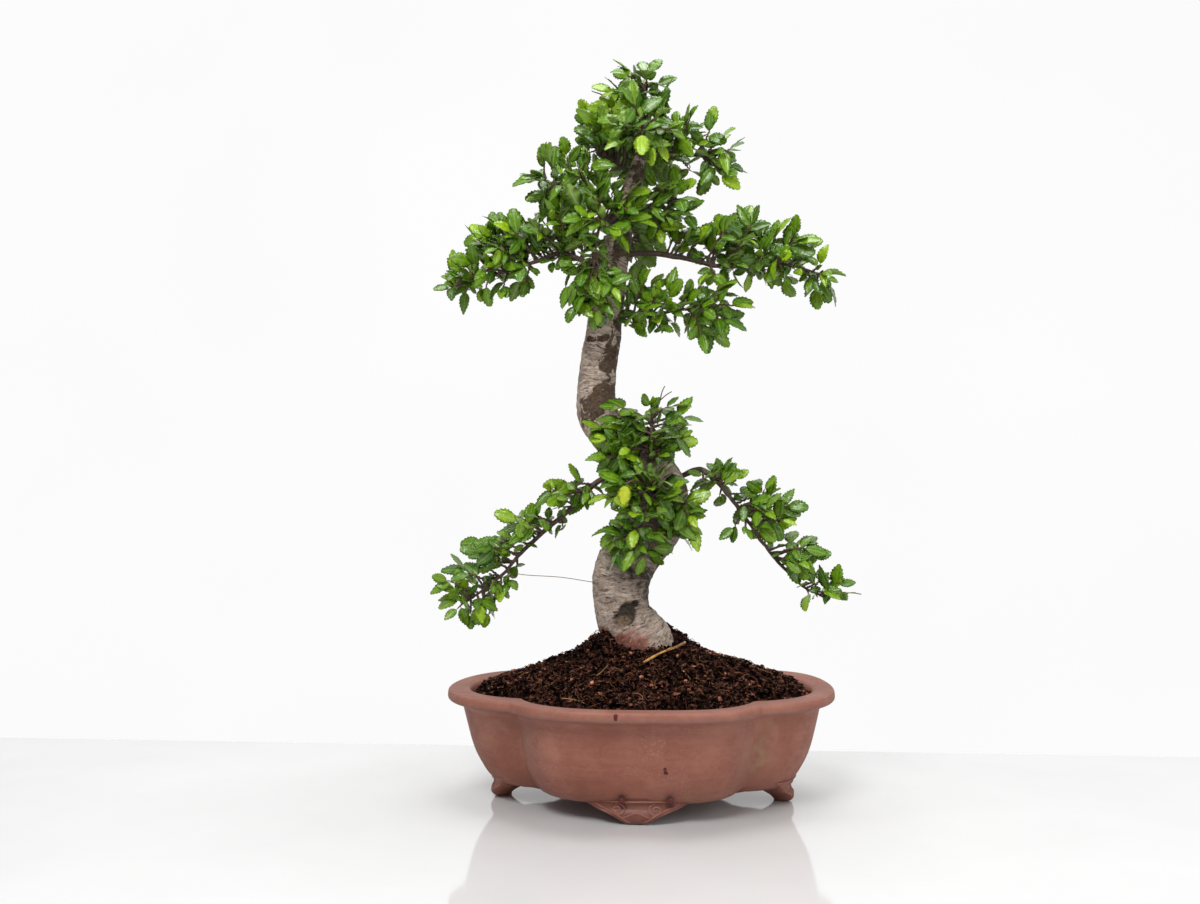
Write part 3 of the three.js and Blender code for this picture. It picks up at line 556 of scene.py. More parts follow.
def clay_material():
    n = Nodes("clay")
    place = n.place()
    broad = n.noise(place, 11, 5)
    fine = n.noise(place, 150, 6, 0.65)
    grit = n.noise(place, 950, 3, 0.7)
    throwing = n.noise(n.stretch(place, (1, 1, 12)), 26, 4)
    colour = n.between(broad, 0.3, 0.7, (0.262, 0.087, 0.053), (0.292, 0.112, 0.080))
    colour = n.layer(colour, fine, (0.35, 0.0), (0.72, 0.75), (0.205, 0.070, 0.045))
    colour = n.layer(colour, throwing, (0.5, 0.0), (0.72, 0.3), (0.315, 0.132, 0.096))
    blotch = n.noise(place, 38, 5, 0.6)
    colour = n.layer(colour, blotch, (0.52, 0.0), (0.66, 0.55), (0.37, 0.155, 0.105))
    colour = n.layer(colour, blotch, (0.32, 0.5), (0.45, 0.0), (0.19, 0.058, 0.034))
    # painted shade: the edge value darkens the rim's top, a band on its outer face near its lower edge, and
    # the foot scrolls a little
    colour = n.mix(n.value("edge"), colour, (0.185, 0.086, 0.068))
    speckle = n.ramp(n.noise(place, 700, 2, 0.6), (0.60, 0.0), (0.66, 1.0))
    patch = n.ramp(n.noise(place, 24, 3), (0.5, 0.0), (0.66, 0.75))
    colour = n.mix(n.times(speckle, patch), colour, (0.36, 0.20, 0.15))
    smudge = n.times(n.value("pale"), n.ramp(fine, (0.38, 0.0), (0.62, 0.8)))
    colour = n.mix(smudge, colour, (0.33, 0.20, 0.12))
    # darker and glossier: real wet streaks on the front, the front and back feet all over, and painted shade
    # beside the creases and low on the wall
    colour = n.mix(n.times(n.value("damp_and_shade"), 0.92), colour, (0.055, 0.012, 0.008))
    colour = n.layer(colour, grit, (0.66, 0.0), (0.73, 0.6), (0.42, 0.27, 0.21))
    colour = n.layer(colour, grit, (0.27, 0.6), (0.33, 0.0), (0.085, 0.030, 0.022))
    n.bump(grit, 0.3, 0.0004)
    n.bump(fine, 0.4, 0.0007)
    n.bump(throwing, 0.3, 0.0008)
    rough = n.ramp(fine, (0.3, 0.52), (0.7, 0.7))
    rough = n.mix(n.value("damp_and_shade"), rough, (0.16, 0.16, 0.16))
    return n.finish(colour, rough, Specular_IOR_Level=0.35)


def soil_material():
    n = Nodes("soil")
    place = n.place()
    clumps = n.noise(place, 120, 6, 0.7, 0.6)
    fibre = n.noise(n.stretch(place, (1, 1, 3)), 420, 6, 0.75, 1.2)
    colour = n.ramp(clumps, (0.3, (0.002, 0.001, 0.0007)), (0.5, (0.006, 0.0026, 0.002)),
                    (0.7, (0.038, 0.014, 0.009)))
    colour = n.layer(colour, fibre, (0.55, 0.0), (0.70, 0.8), (0.15, 0.068, 0.048))
    colour = n.layer(colour, fibre, (0.25, 0.8), (0.42, 0.0), (0.002, 0.001, 0.0008))
    # painted shade: nearly black gaps between the clumps, with lighter lumps between them
    shade = n.ramp(n.noise(place, 230, 3, 0.65), (0.43, 0.03), (0.60, 3.2))
    colour = n.mix(1.0, colour, shade, "MULTIPLY")
    n.bump(clumps, 0.9, 0.004)
    n.bump(fibre, 0.8, 0.0016)
    return n.finish(colour, n.ramp(clumps, (0.3, 0.6), (0.7, 0.95)), Specular_IOR_Level=0.02)


def crumb_material():
    n = Nodes("crumb")
    place = n.place()
    chance = n.value("chance")
    grain = n.noise(place, 480, 6, 0.78, 1.6)
    colour = n.ramp(chance, (0.0, (0.002, 0.001, 0.0009)), (0.42, (0.007, 0.003, 0.0024)),
                    (0.72, (0.034, 0.014, 0.010)), (0.93, (0.125, 0.045, 0.028)), (1.0, (0.27, 0.11, 0.06)))
    colour = n.layer(colour, grain, (0.53, 0.0), (0.66, 0.8), (0.21, 0.10, 0.072))
    colour = n.layer(colour, grain, (0.34, 0.95), (0.48, 0.0), (0.001, 0.0005, 0.0005))
    # painted shade: nearly black gaps between the crumbs, with lighter lumps between them
    shade = n.ramp(n.noise(place, 230, 3, 0.65), (0.43, 0.03), (0.60, 3.5))
    colour = n.mix(1.0, colour, shade, "MULTIPLY")
    n.bump(grain, 1.0, 0.0016)
    return n.finish(colour, n.ramp(grain, (0.3, 0.6), (0.7, 0.9)), Specular_IOR_Level=0.02)


def fibre_material():
    n = Nodes("fibre")
    chance = n.value("chance")
    grain = n.noise(n.place(), 900, 4)
    colour = n.ramp(chance, (0.0, (0.05, 0.017, 0.009)), (0.5, (0.17, 0.062, 0.03)),
                    (0.85, (0.30, 0.15, 0.07)), (1.0, (0.55, 0.38, 0.20)))
    colour = n.layer(colour, grain, (0.4, 0.0), (0.7, 0.5), (0.08, 0.03, 0.016))
    n.bump(grain, 0.5, 0.0003)
    return n.finish(colour, n.ramp(grain, (0.3, 0.55), (0.7, 0.8)), Specular_IOR_Level=0.1)


def straw_material():
    n = Nodes("straw")
    place = n.place()
    grain = n.noise(place, 700, 5, 0.6)
    patch = n.noise(place, 120, 2)
    colour = n.ramp(patch, (0.38, (0.20, 0.085, 0.032)), (0.5, (0.40, 0.19, 0.05)),
                    (0.62, (0.62, 0.36, 0.07)))
    colour = n.layer(colour, grain, (0.5, 0.0), (0.75, 0.7), (0.20, 0.09, 0.04))
    n.bump(grain, 0.6, 0.0005)
    return n.finish(colour, n.ramp(grain, (0.3, 0.45), (0.7, 0.7)))


def bark_material():
    n = Nodes("bark")
    place = n.place()
    x, y, z = n.split(place)[:3]
    grain = n.noise(place, 430, 6, 0.72)
    broad = n.noise(place, 42, 5, 0.62)
    bend = n.noise(place, 55, 3, 0.5)
    # wrinkles run round the stem: fine across its length, long around it
    level = n.math("ADD", n.value("along"), n.times(bend, 0.011))
    round_stem = n.join(x, y, level)
    wrinkles = n.noise(n.stretch(round_stem, (85.0, 85.0, 760.0)), 1.0, 5, 0.66, 0.5)
    dashes = n.noise(n.stretch(round_stem, (130.0, 130.0, 640.0)), 1.0, 2, 0.5)
    colour = n.between(broad, 0.38, 0.62, (0.235, 0.182, 0.150), (0.41, 0.33, 0.275))
    colour = n.layer(colour, grain, (0.36, 0.7), (0.52, 0.0), (0.10, 0.076, 0.063))
    colour = n.layer(colour, wrinkles, (0.36, 0.95), (0.47, 0.0), (0.072, 0.053, 0.043))
    colour = n.layer(colour, wrinkles, (0.53, 0.0), (0.64, 0.8), (0.52, 0.465, 0.42))
    colour = n.layer(colour, dashes, (0.655, 0.0), (0.69, 0.9), (0.035, 0.026, 0.02))
    height = n.ramp(n.times(z, 2.0), (0.42, (1.0, 0.97, 0.93)), (0.62, (1.2, 1.165, 1.11)))
    colour = n.mix(1.0, colour, height, "MULTIPLY")
    flakes = n.noise(place, 70, 6, 0.62, 0.8)
    peel = n.math("ADD", n.value("peel"), n.times(n.math("SUBTRACT", flakes, 0.5), 1.5))
    border = n.ramp(peel, (0.44, 0.0), (0.49, 0.8), (0.53, 0.0))
    peel = n.ramp(peel, (0.485, 0.0), (0.515, 1.0))
    under = n.between(grain, 0.38, 0.62, (0.030, 0.018, 0.011), (0.115, 0.072, 0.042))
    colour = n.mix(peel, colour, under)
    colour = n.mix(border, colour, (0.05, 0.032, 0.022))
    spots = n.ramp(n.noise(place, 330, 3, 0.6), (0.6, 0.0), (0.66, 0.8))
    stain = n.times(n.value("stain"), n.ramp(bend, (0.35, 0.6), (0.62, 1.0)))
    colour = n.mix(stain, colour, n.mix(spots, (0.25, 0.098, 0.078), (0.42, 0.13, 0.04)))
    dust = n.between(grain, 0.4, 0.58, (0.050, 0.019, 0.013), (0.19, 0.065, 0.040))
    dust = n.mix(spots, dust, (0.40, 0.13, 0.04))
    colour = n.mix(n.times(n.value("dust"), 0.85), colour, dust)
    dark = n.between(grain, 0.4, 0.62, (0.006, 0.0045, 0.003), (0.062, 0.044, 0.030))
    colour = n.mix(n.value("scar"), colour, dark)
    tan = n.between(grain, 0.4, 0.6, (0.055, 0.033, 0.019), (0.20, 0.13, 0.075))
    colour = n.mix(n.value("lip"), colour, tan)
    n.bump(wrinkles, 0.9, 0.0013)
    n.bump(grain, 0.55, 0.0009)
    n.bump(peel, -0.7, 0.001)
    return n.finish(colour, n.ramp(grain, (0.3, 0.62), (0.7, 0.85)), Specular_IOR_Level=0.3)


def twig_material():
    n = Nodes("twig")
    place = n.place()
    young = n.value("young")
    grain = n.noise(place, 600, 5, 0.7)
    spots = n.cells(place, 900)
    old = n.between(grain, 0.35, 0.65, (0.032, 0.019, 0.014), (0.125, 0.084, 0.062))
    fresh = n.between(grain, 0.35, 0.65, (0.085, 0.03, 0.016), (0.16, 0.085, 0.035))
    colour = n.mix(young, old, fresh)
    colour = n.layer(colour, spots, (0.08, 0.5), (0.2, 0.0), (0.28, 0.21, 0.16))
    n.bump(grain, 0.6, 0.0006)
    n.bump(n.noise(place, 200, 3), 0.5, 0.0008)
    return n.finish(colour, n.ramp(grain, (0.3, 0.55), (0.7, 0.8)), Specular_IOR_Level=0.4)


def leaf_material():
    n = Nodes("leaf")
    place = n.place()
    tone, chance, under = n.value("tone"), n.value("chance"), n.value("under")
    u, v = n.split(n.uv())[:2]
    from_rib = n.math("ABSOLUTE", n.math("SUBTRACT", u, 0.5))
    ribs = n.math("SUBTRACT", n.times(v, 9.0), n.times(from_rib, 5.5))
    saw = n.math("ABSOLUTE", n.math("SUBTRACT", n.math("FRACT", ribs), 0.5))
    veins = n.ramp(saw, (0.0, 1.0), (0.16, 0.0))
    midrib = n.ramp(from_rib, (0.0, 1.0), (0.03, 0.9), (0.06, 0.0))
    lines = n.math("MAXIMUM", n.times(veins, 0.55), midrib)
    mottle = n.noise(place, 300, 4, 0.6)
    colour = n.ramp(tone, (0.0, (0.014, 0.048, 0.001)), (0.3, (0.046, 0.120, 0.001)),
                    (0.55, (0.112, 0.230, 0.002)), (0.8, (0.225, 0.375, 0.003)),
                    (0.95, (0.33, 0.465, 0.004)), (1.0, (0.43, 0.49, 0.015)))
    colour = n.mix(n.times(chance, 0.5), colour, (0.020, 0.098, 0.008))
    lighter = n.mix(1.0, colour, (1.7, 1.5, 1.4), "MULTIPLY")
    colour = n.mix(n.ramp(mottle, (0.38, 0.0), (0.7, 0.6)), colour, lighter)
    colour = n.mix(n.times(lines, 0.7), colour, n.mix(0.5, colour, (0.38, 0.50, 0.09)))
    back = n.between(mottle, 0.35, 0.7, (0.085, 0.17, 0.018), (0.15, 0.25, 0.04))
    back = n.mix(n.times(tone, 0.6), back, (0.22, 0.34, 0.015))
    back = n.mix(n.times(lines, 0.7), back, (0.28, 0.36, 0.15))
    colour = n.mix(under, colour, back)
    n.bump(lines, -0.8, 0.0007)
    n.bump(mottle, 0.6, 0.0008)
    rough = n.mix(under, n.ramp(mottle, (0.3, 0.13), (0.7, 0.32)), (0.6, 0.6, 0.6))
    return n.finish(colour, rough, Specular_IOR_Level=0.42)


def plastic_material():
    n = Nodes("mesh_plastic")
    place = n.place()
    grain = n.noise(place, 500, 4)
    colour = n.between(grain, 0.3, 0.7, (0.02, 0.032, 0.022), (0.045, 0.06, 0.042))
    colour = n.mix(n.ramp(n.noise(place, 90, 4), (0.5, 0.0), (0.65, 0.8)), colour, (0.06, 0.035, 0.022))
    n.bump(grain, 0.4, 0.0003)
    return n.finish(colour, n.ramp(grain, (0.3, 0.4), (0.7, 0.6)))


def water_material():
    n = Nodes("water")
    place = n.place()
    shade = n.noise(place, 700, 2)
    colour = n.between(shade, 0.3, 0.7, (0.060, 0.010, 0.007), (0.105, 0.022, 0.016))
    n.bump(shade, 0.3, 0.0003)
    return n.finish(colour, n.ramp(shade, (0.3, 0.2), (0.7, 0.35)), Specular_IOR_Level=0.3)


def floor_material():
    n = Nodes("floor")
    place = n.place()
    cloud = n.noise(place, 3.0, 5, 0.6)
    colour = n.between(cloud, 0.3, 0.7, (0.56, 0.56, 0.56), (0.63, 0.63, 0.63))
    return n.finish(colour, n.ramp(cloud, (0.3, 0.05), (0.7, 0.09)), Specular_IOR_Level=0.6)


def backdrop_material():
    n = Nodes("backdrop")
    shade = n.noise(n.place(), 1.2, 2)
    n.put(n.between(shade, 0.3, 0.7, (0.96, 0.96, 0.96), (0.985, 0.985, 0.985)),
          n.shader.inputs["Emission Color"])
    return n.finish((0.0, 0.0, 0.0), 1.0, Emission_Strength=1.0, Specular_IOR_Level=0.0)


# Pot

def outline_radius(angle, inset):
    """Plan outline of the pot, moved in by an inset: two long lobes with round shoulders, two end lobes."""
    across, along = np.abs(np.cos(angle)), np.abs(np.sin(angle))
    long_half = LONG_LOBE_HALF - LONG_LOBE_TAPER * inset
    long_depth = POT_DEPTH / 2 - inset
    long = (across / long_half) ** LONG_LOBE_POWER + (along / long_depth) ** LONG_LOBE_POWER
    long = long ** (-1 / LONG_LOBE_POWER)
    end_radius = END_LOBE_RADIUS - inset
    end_depth = END_LOBE_DEPTH - inset - END_LOBE_NARROWING * np.minimum(inset, NARROWING_INSET)
    square = (across / end_radius) ** 2 + (along / end_depth) ** 2
    half = END_SHIFT * across / end_radius ** 2
    rest = (END_SHIFT / end_radius) ** 2 - 1
    end = (half + np.sqrt(np.maximum(0, half ** 2 - square * rest))) / square
    return (long + end + np.hypot(long - end, LOBE_BLEND)) / 2


def smooth_profile(profile, rounds):
    """Cuts the corners of an open profile again and again, and keeps its ends."""
    line = np.array(profile, float)
    for _ in range(rounds):
        a, b = line[:-1], line[1:]
        cut = np.stack([0.75 * a + 0.25 * b, 0.25 * a + 0.75 * b], axis=1).reshape(-1, line.shape[1])
        line = np.vstack([line[:1], cut[1:-1], line[-1:]])
    return line


def outline_ring(angles, inset, height):
    radius = outline_radius(angles, inset)
    return flat_ring(radius * np.cos(angles), radius * np.sin(angles), height)


def crease_angle(inset):
    """Direction of the crease between a long lobe and an end lobe."""
    tries = np.linspace(math.radians(20), math.radians(60), 400)
    return tries[np.argmin(outline_radius(tries, inset))]


def pot_rings(sides, profile):
    """One ring for each point of the profile, with a corner of every ring in each crease."""
    even = full_turn(sides)
    half_turn = even % math.pi
    first = round(sides * CREASE_SHARE) / sides * 2 * math.pi
    rings = []
    for inset, height in profile:
        stops = [0, first, math.pi / 2]
        places = [0, crease_angle(inset), math.pi / 2]
        quarter = np.interp(np.minimum(half_turn, math.pi - half_turn), stops, places)
        angles = np.where(half_turn > math.pi / 2, math.pi - quarter, quarter)
        angles = angles + math.pi * (even >= math.pi)
        rings.append(outline_ring(angles, inset, height))
    return np.array(rings)


def hollow_disc(surface, height, ring, sign, **values):
    """Flat bottom inside a ring, with the two drain holes left open."""
    for side in (-1, 1):
        centre = side * DRAIN_SPACING / 2
        # the half ring on this side, closed along the middle line
        half = [p[:2] for p in ring if side * p[0] >= 0]
        half.sort(key=lambda p: math.atan2(p[1], side * p[0]))
        y_end = abs(half[-1][1])
        middle = [np.array([0.0, y]) for y in np.linspace(y_end, -y_end, 15)[1:-1]]
        outer = np.array(sorted(half + middle, key=lambda p: math.atan2(p[1], side * (p[0] - centre))))
        angles = np.arctan2(outer[:, 1], side * (outer[:, 0] - centre))
        inner_x = centre + side * DRAIN_RADIUS * np.cos(angles)
        inner = np.stack([inner_x, DRAIN_RADIUS * np.sin(angles)], axis=1)
        rows = [outer * (1 - t) + inner * t for t in (0.0, 0.4, 0.75, 1.0)]
        points = np.array([flat_ring(row[:, 0], row[:, 1], height) for row in rows])
        if side * sign > 0:
            points = points[:, ::-1]
        surface.grid(points, caps=False, **values)


def foot_surface(surface, scale, bend, centre, facing):
    """Bracket foot bent to a radius round a centre, rounded at its lower edge."""
    edge = smooth_profile(FOOT_EDGE[1:], 2)
    heights = np.linspace(0, edge[-1, 1], FOOT_ROWS)
    halves = np.interp(heights, edge[:, 1], edge[:, 0]) * scale
    faces = np.interp(heights, edge[:, 1], edge[:, 2])
    rings = []
    for height, half, face in zip(heights, halves, faces):
        ring = []
        for k in range(FOOT_COLUMNS):
            across = -1 + 2 * k / (FOOT_COLUMNS - 1)
            soft = 1 - min(1, (1 - abs(across)) * half / FOOT_SOFT_EDGE)
            depth = FOOT_SOFT_EDGE * (1 - math.sqrt(max(0.0, 1 - soft ** 2)))
            depth += 0.8 * max(0.0, 1 - height / 0.8) ** 2
            ring.append((across * half, bend + face - depth))
        for k in range(FOOT_COLUMNS):
            across = 1 - 2 * k / (FOOT_COLUMNS - 1)
            ring.append((across * half, bend + face - FOOT_THICKNESS - FOOT_SLOPE * height))
        across, out = np.array(ring).T
        angle = facing + across / bend
        rings.append(flat_ring(centre[0] + out * np.cos(angle), centre[1] + out * np.sin(angle), height))
    rings = np.array(rings)
    # front and back feet darker and glossier all over, the end feet a little, with wet marks on the front top
    dull = 0.62 if scale == 1.0 else 0.1
    front_top = (rings[..., 1] < 0) * (rings[..., 2] > 12.0)
    marks = sum(np.exp(-((rings[..., 0] - x) / 3.0) ** 4) for x in (WET_LEFT, WET_RIGHT))
    wet = dull + (1 - dull) * front_top * marks
    surface.grid(rings, point_values={"edge": 0.0, "pale": 0.0, "damp_and_shade": wet.ravel()})

    def on_face(x, z, lift):
        out = bend + np.interp(z, heights, faces) + lift
        angle = facing + scale * x / bend
        return np.array([centre[0] + out * math.cos(angle), centre[1] + out * math.sin(angle), z])

    # raised scrolls: two spirals, the line that joins them and the line that follows the lower edge
    turn = np.linspace(0, 1, 46)
    spiral = list(zip(4.6 * (1 - turn) + 0.9, math.pi * (0.5 + 3.1 * turn)))
    low = np.linspace(0.4, 14.0, 22)
    rim = np.interp(low, heights, halves) / scale * 0.9 - 1.2
    lines = []
    for side in (-1, 1):
        lines.append([on_face(side * (13.5 + r * math.cos(a)), 11.0 + 0.78 * r * math.sin(a), -0.1)
                      for r, a in spiral])
        lines.append([on_face(side * x, z, -0.15) for x, z in zip(rim, low + 1.5)])
    lines.append([on_face(x, 7.4 + 1.6 * math.cos(x / 3.2), -0.2) for x in np.linspace(-10, 10, 26)])
    lines.append([on_face(x, 17.0 + 0.25 * math.sin(x / 9), 0.1) for x in np.linspace(-25, 25, 40)])
    for line in lines:
        taper = np.sin(np.linspace(0.25, math.pi - 0.25, len(line)))
        surface.tube(line, 0.95 * scale * (0.55 + 0.45 * taper), 6,
                     point_values={"edge": 0.1, "pale": 0.0, "damp_and_shade": 0.25})


def make_pot(clay):
    pot = Surface()
    profile = smooth_profile(POT_WALL, 2)
    rings = pot_rings(POT_SIDES, profile)
    x, y, height = rings[..., 0], rings[..., 1], rings[..., 2]
    bulge = lumps(rings, 60, 3.0, 2)
    outward = rings.copy()
    outward[..., 2] = 0
    outward /= np.linalg.norm(outward, axis=-1, keepdims=True)
    rings += outward * (0.45 * bulge)[..., None]
    height += 0.25 * lumps(rings * np.array([1, 1, 0]), 80, 9.0, 2) * (height > 70)
    back = clamp((y + 10) / 70)
    upper = clamp((height - 30) / 50)
    right = x / (POT_LENGTH / 2)
    rise = REAR_RISE * back * back * (3 - 2 * back) * (1 + 0.4 * right) + 1.2 * np.maximum(0, right) ** 3
    height += rise * upper
    x -= 0.7 + 0.7 * np.maximum(0, right) ** 2

    front = y < 0
    insets = profile[:, 0]
    # painted shade: darker rim top, and a darker band on the rim's outer face near its lower edge
    edge = hump((height - 80) / 3.0) * (insets[:, None] < 4) * 0.6 + (height > 85.3) * 0.35
    pale = 0.25 * (lumps(rings, 26, 5.0) > 0.32)
    for strength, at_x, wide, at_height, tall in PALE_MARKS:
        pale += strength * np.exp(-((x - at_x) / wide) ** 2 - ((height - at_height) / tall) ** 2) * front
    turns = [crease_angle(inset) for inset in insets]
    crease = np.array([outline_radius(turn, inset) * math.cos(turn) for inset, turn in zip(insets, turns)])
    # painted shade: darker beside the creases and towards the bottom of the wall; the wet streaks that follow
    # are real
    damp_and_shade = 0.14 * hump((np.abs(x) - crease[:, None] + 7) / 10) * (height < 76)
    damp_and_shade += 0.08 * clamp((30 - height) / 8)
    for at_x, wide, low in ((WET_LEFT, 3.4, 12), (WET_RIGHT, 3.2, 14)):
        fading = hump(np.maximum(0, height - WET_TOP) / 3.0)
        damp_and_shade += front * hump((x - at_x) / wide) * (height > low) * fading
    values = {"edge": edge.ravel(), "pale": clamp(pale).ravel(), "damp_and_shade": clamp(damp_and_shade).ravel()}
    pot.grid(rings, caps=False, point_values=values)

    plain = {"edge": 0.0, "pale": 0.1, "damp_and_shade": 0.0}
    hollow_disc(pot, UNDERSIDE, rings[0], -1, point_values=plain)
    hollow_disc(pot, FLOOR, rings[-1], 1, point_values=plain)
    angles = full_turn(DRAIN_SIDES)
    for side in (-1, 1):
        around_x = side * DRAIN_SPACING / 2 + DRAIN_RADIUS * np.cos(angles)
        walls = [flat_ring(around_x, -DRAIN_RADIUS * np.sin(angles), z)
                 for z in (UNDERSIDE, (UNDERSIDE + FLOOR) / 2, FLOOR)]
        pot.grid(walls, caps=False, point_values=plain)
    end_bend = END_LOBE_RADIUS - FOOT_INSET
    foot_surface(pot, 1.0, LONG_FOOT_BEND, (0, LONG_FOOT_SHIFT), -math.pi / 2)
    foot_surface(pot, 1.0, LONG_FOOT_BEND, (0, -LONG_FOOT_SHIFT), math.pi / 2)
    foot_surface(pot, END_FOOT_SCALE, end_bend, (END_SHIFT, 0), 0.0)
    foot_surface(pot, END_FOOT_SCALE, end_bend, (-END_SHIFT, 0), math.pi)
    pot.build("pot_body", clay, "clay", ["pot"])


def make_drips(water):
    """Drops of water on the front foot, on the wall and on the rim."""
    drips = Surface()
    edge = np.array(FOOT_EDGE)
    for x, z, wide, tall in FOOT_DROPS:
        out = LONG_FOOT_BEND + np.interp(z, edge[:, 1], edge[:, 2]) + (0.1 if z < 17 else WET_WALL_SHIFT)
        angle = -math.pi / 2 + x / LONG_FOOT_BEND
        bead(drips, (out * math.cos(angle), LONG_FOOT_SHIFT + out * math.sin(angle), z), wide, tall)
    for x, z, inset, wide, tall in WALL_DROPS:
        angle = math.atan2(WALL_FRONT, x)
        radius = outline_radius(np.array([angle]), inset)[0]
        bead(drips, (radius * math.cos(angle), radius * math.sin(angle), z), wide, tall)
    drips.build("water_beads", water, "clay")


def bead(surface, centre, wide, tall):
    """Flattened drop that faces the front."""
    angles = full_turn(BEAD_SIDES)
    rings = []
    for row in range(1, BEAD_ROWS):
        tilt = math.pi * row / BEAD_ROWS
        x = centre[0] + wide * math.sin(tilt) ** 0.7 * np.cos(angles)
        y = centre[1] + BEAD_DEPTH * math.sin(tilt) * np.sin(angles)
        rings.append(flat_ring(x, y, centre[2] - tall * math.cos(tilt)))
    surface.grid(np.array(rings))


# Soil

def mound_height(x, y, share):
    """Height of the mound; share is 1 at the wall of the pot and 0 in the middle."""
    rise = SOIL_PEAK - SOIL_EDGE
    cone = SOIL_EDGE + rise * (1 - share)
    cone = np.where(share > 0.92, SOIL_EDGE + rise * 0.08 - (share - 0.92) / 0.08 * 8.6, cone)
    heaps = 12 * np.exp(-((x - 17) ** 2 + (y - 23) ** 2) / 450)
    heaps = heaps + 6.5 * np.exp(-(x + 38) ** 2 / 110 - y ** 2 / 400)
    heaps = heaps - 2.8 * hump((x + 76) / 26) - hump((x - 48) / 24)
    heaps = heaps + 11.0 * np.exp(-(x + 28) ** 2 / 110 - (y + 22) ** 2 / 200)
    heaps = heaps + 3.0 * np.exp(-(x - 2) ** 2 / 260 - (y + 36) ** 2 / 140)
    ripples = 1.3 * np.sin(0.085 * x + 0.9) * np.cos(0.11 * y) + 0.9 * np.sin(0.07 * x - 0.12 * y + 2)
    return cone + (heaps + ripples) * clamp((1 - share) / 0.08)


def soil_point(angle, share):
    radius = share * outline_radius(np.asarray(angle), SOIL_EDGE_INSET)
    x, y = radius * np.cos(angle), radius * np.sin(angle)
    return np.stack([x, y, mound_height(x, y, share)], axis=-1)


def make_mound(soil):
    mound = Surface()
    angles = full_turn(MOUND_SIDES)
    body = [outline_ring(angles, inset, height) for inset, height in SOIL_BODY]
    shares = np.linspace(0.995, 0.08, MOUND_ROWS)
    top = np.array([soil_point(angles, np.full(MOUND_SIDES, share)) for share in shares])
    top[..., 2] += 1.8 * lumps(top, 8.0, 1.0, 3) + 2.4 * np.abs(lumps(top, 3.4, 2.0, 3)) - 3.4
    mound.grid(np.concatenate([np.array(body), top]))
    mound.build("soil_mound", soil, "soil", ["soil"])


def make_crumbs(crumb, draw):
    """Loose crumbs: balls of twenty faces with each corner moved in or out, half sunk in the mound."""
    crumbs = Surface()
    for _ in range(CRUMBS):
        angle = 2 * math.pi * draw()
        share = 0.22 + 0.775 * math.sqrt(draw())
        centre = soil_point(angle, min(share, 0.985))
        size = 0.5 + 1.7 * draw() ** 3
        stretch = np.array([0.6 + 1.5 * draw(), 0.5 + 0.6 * draw(), 0.4 + 0.5 * draw()]) * size
        shape = BALL * (0.35 + 1.2 * np.array([draw() for _ in BALL]))[:, None] * stretch
        spin = 2 * math.pi * draw()
        cosine, sine = math.cos(spin), math.sin(spin)
        turn = np.array([[cosine, -sine, 0], [sine, cosine, 0], [0, 0, 1]])
        centre = centre + np.array([0, 0, 0.3 * size + 1.2 * (draw() - 0.5) - 1.8])
        crumbs.add(shape @ turn.T + centre, BALL_FACES, face_values={"chance": draw() ** 1.9})
    crumbs.build("soil_crumbs", crumb, "soil", smooth=False)


def make_threads(fibre, draw):
    """Short root fibres that lie on the mound, and three longer ones at the front."""
    threads = Surface()
    for _ in range(THREADS):
        angle = 2 * math.pi * draw()
        share = min(0.97, 0.24 + 0.75 * math.sqrt(draw()))
        start = soil_point(angle, share)
        heading, length = 2 * math.pi * draw(), 2.5 + 9 * draw() ** 2
        bend = 2.2 * (draw() - 0.5)
        path = []
        for step in np.linspace(0, 1, 6):
            way = heading + bend * step
            x = start[0] + length * step * math.cos(way)
            y = start[1] + length * step * math.sin(way)
            place = math.atan2(y, x)
            reach = math.hypot(x, y) / outline_radius(np.array([place]), SOIL_EDGE_INSET)[0]
            x, y, z = soil_point(place, min(0.985, reach))
            path.append([x, y, z - 0.9 + 1.8 * math.sin(math.pi * step) * draw()])
        threads.tube(path, 0.14 + 0.24 * draw() ** 2, 3, face_values={"chance": 0.75 * draw()})
    for line, radius in LONG_THREADS:
        threads.tube(spline(np.array(line, float), 12), radius, 5, face_values={"chance": 0.9})
    threads.build("soil_fibres", fibre, "soil")


def make_straw(straw):
    """Straw-coloured scrap of root on the mound, with one side root."""
    stalk = Surface()
    path = spline(np.array(STRAW), 34)
    radii = 0.85 + 0.25 * np.sin(np.linspace(0, 9, 34)) * np.linspace(1, 0.3, 34)
    stalk.tube(path, radii, 10, wobble=lambda rings: 0.3 * lumps(rings, 2.5, 4.0)[..., None])
    side = path[17] + np.array([(0.0, 0.0, 0.0), (3.0, -1.0, 1.9), (6.0, -1.0, 2.6), (8.5, 0.5, 2.2)])
    stalk.tube(spline(side, 12), np.linspace(0.75, 0.4, 12), 7)
    stalk.build("root_straw", straw, "soil")


# Trunk

def trunk_radius(share, angle):
    return 1 + 0.05 * np.sin(2 * angle + 9 * share) + 0.03 * np.sin(3 * angle + 20 * share)


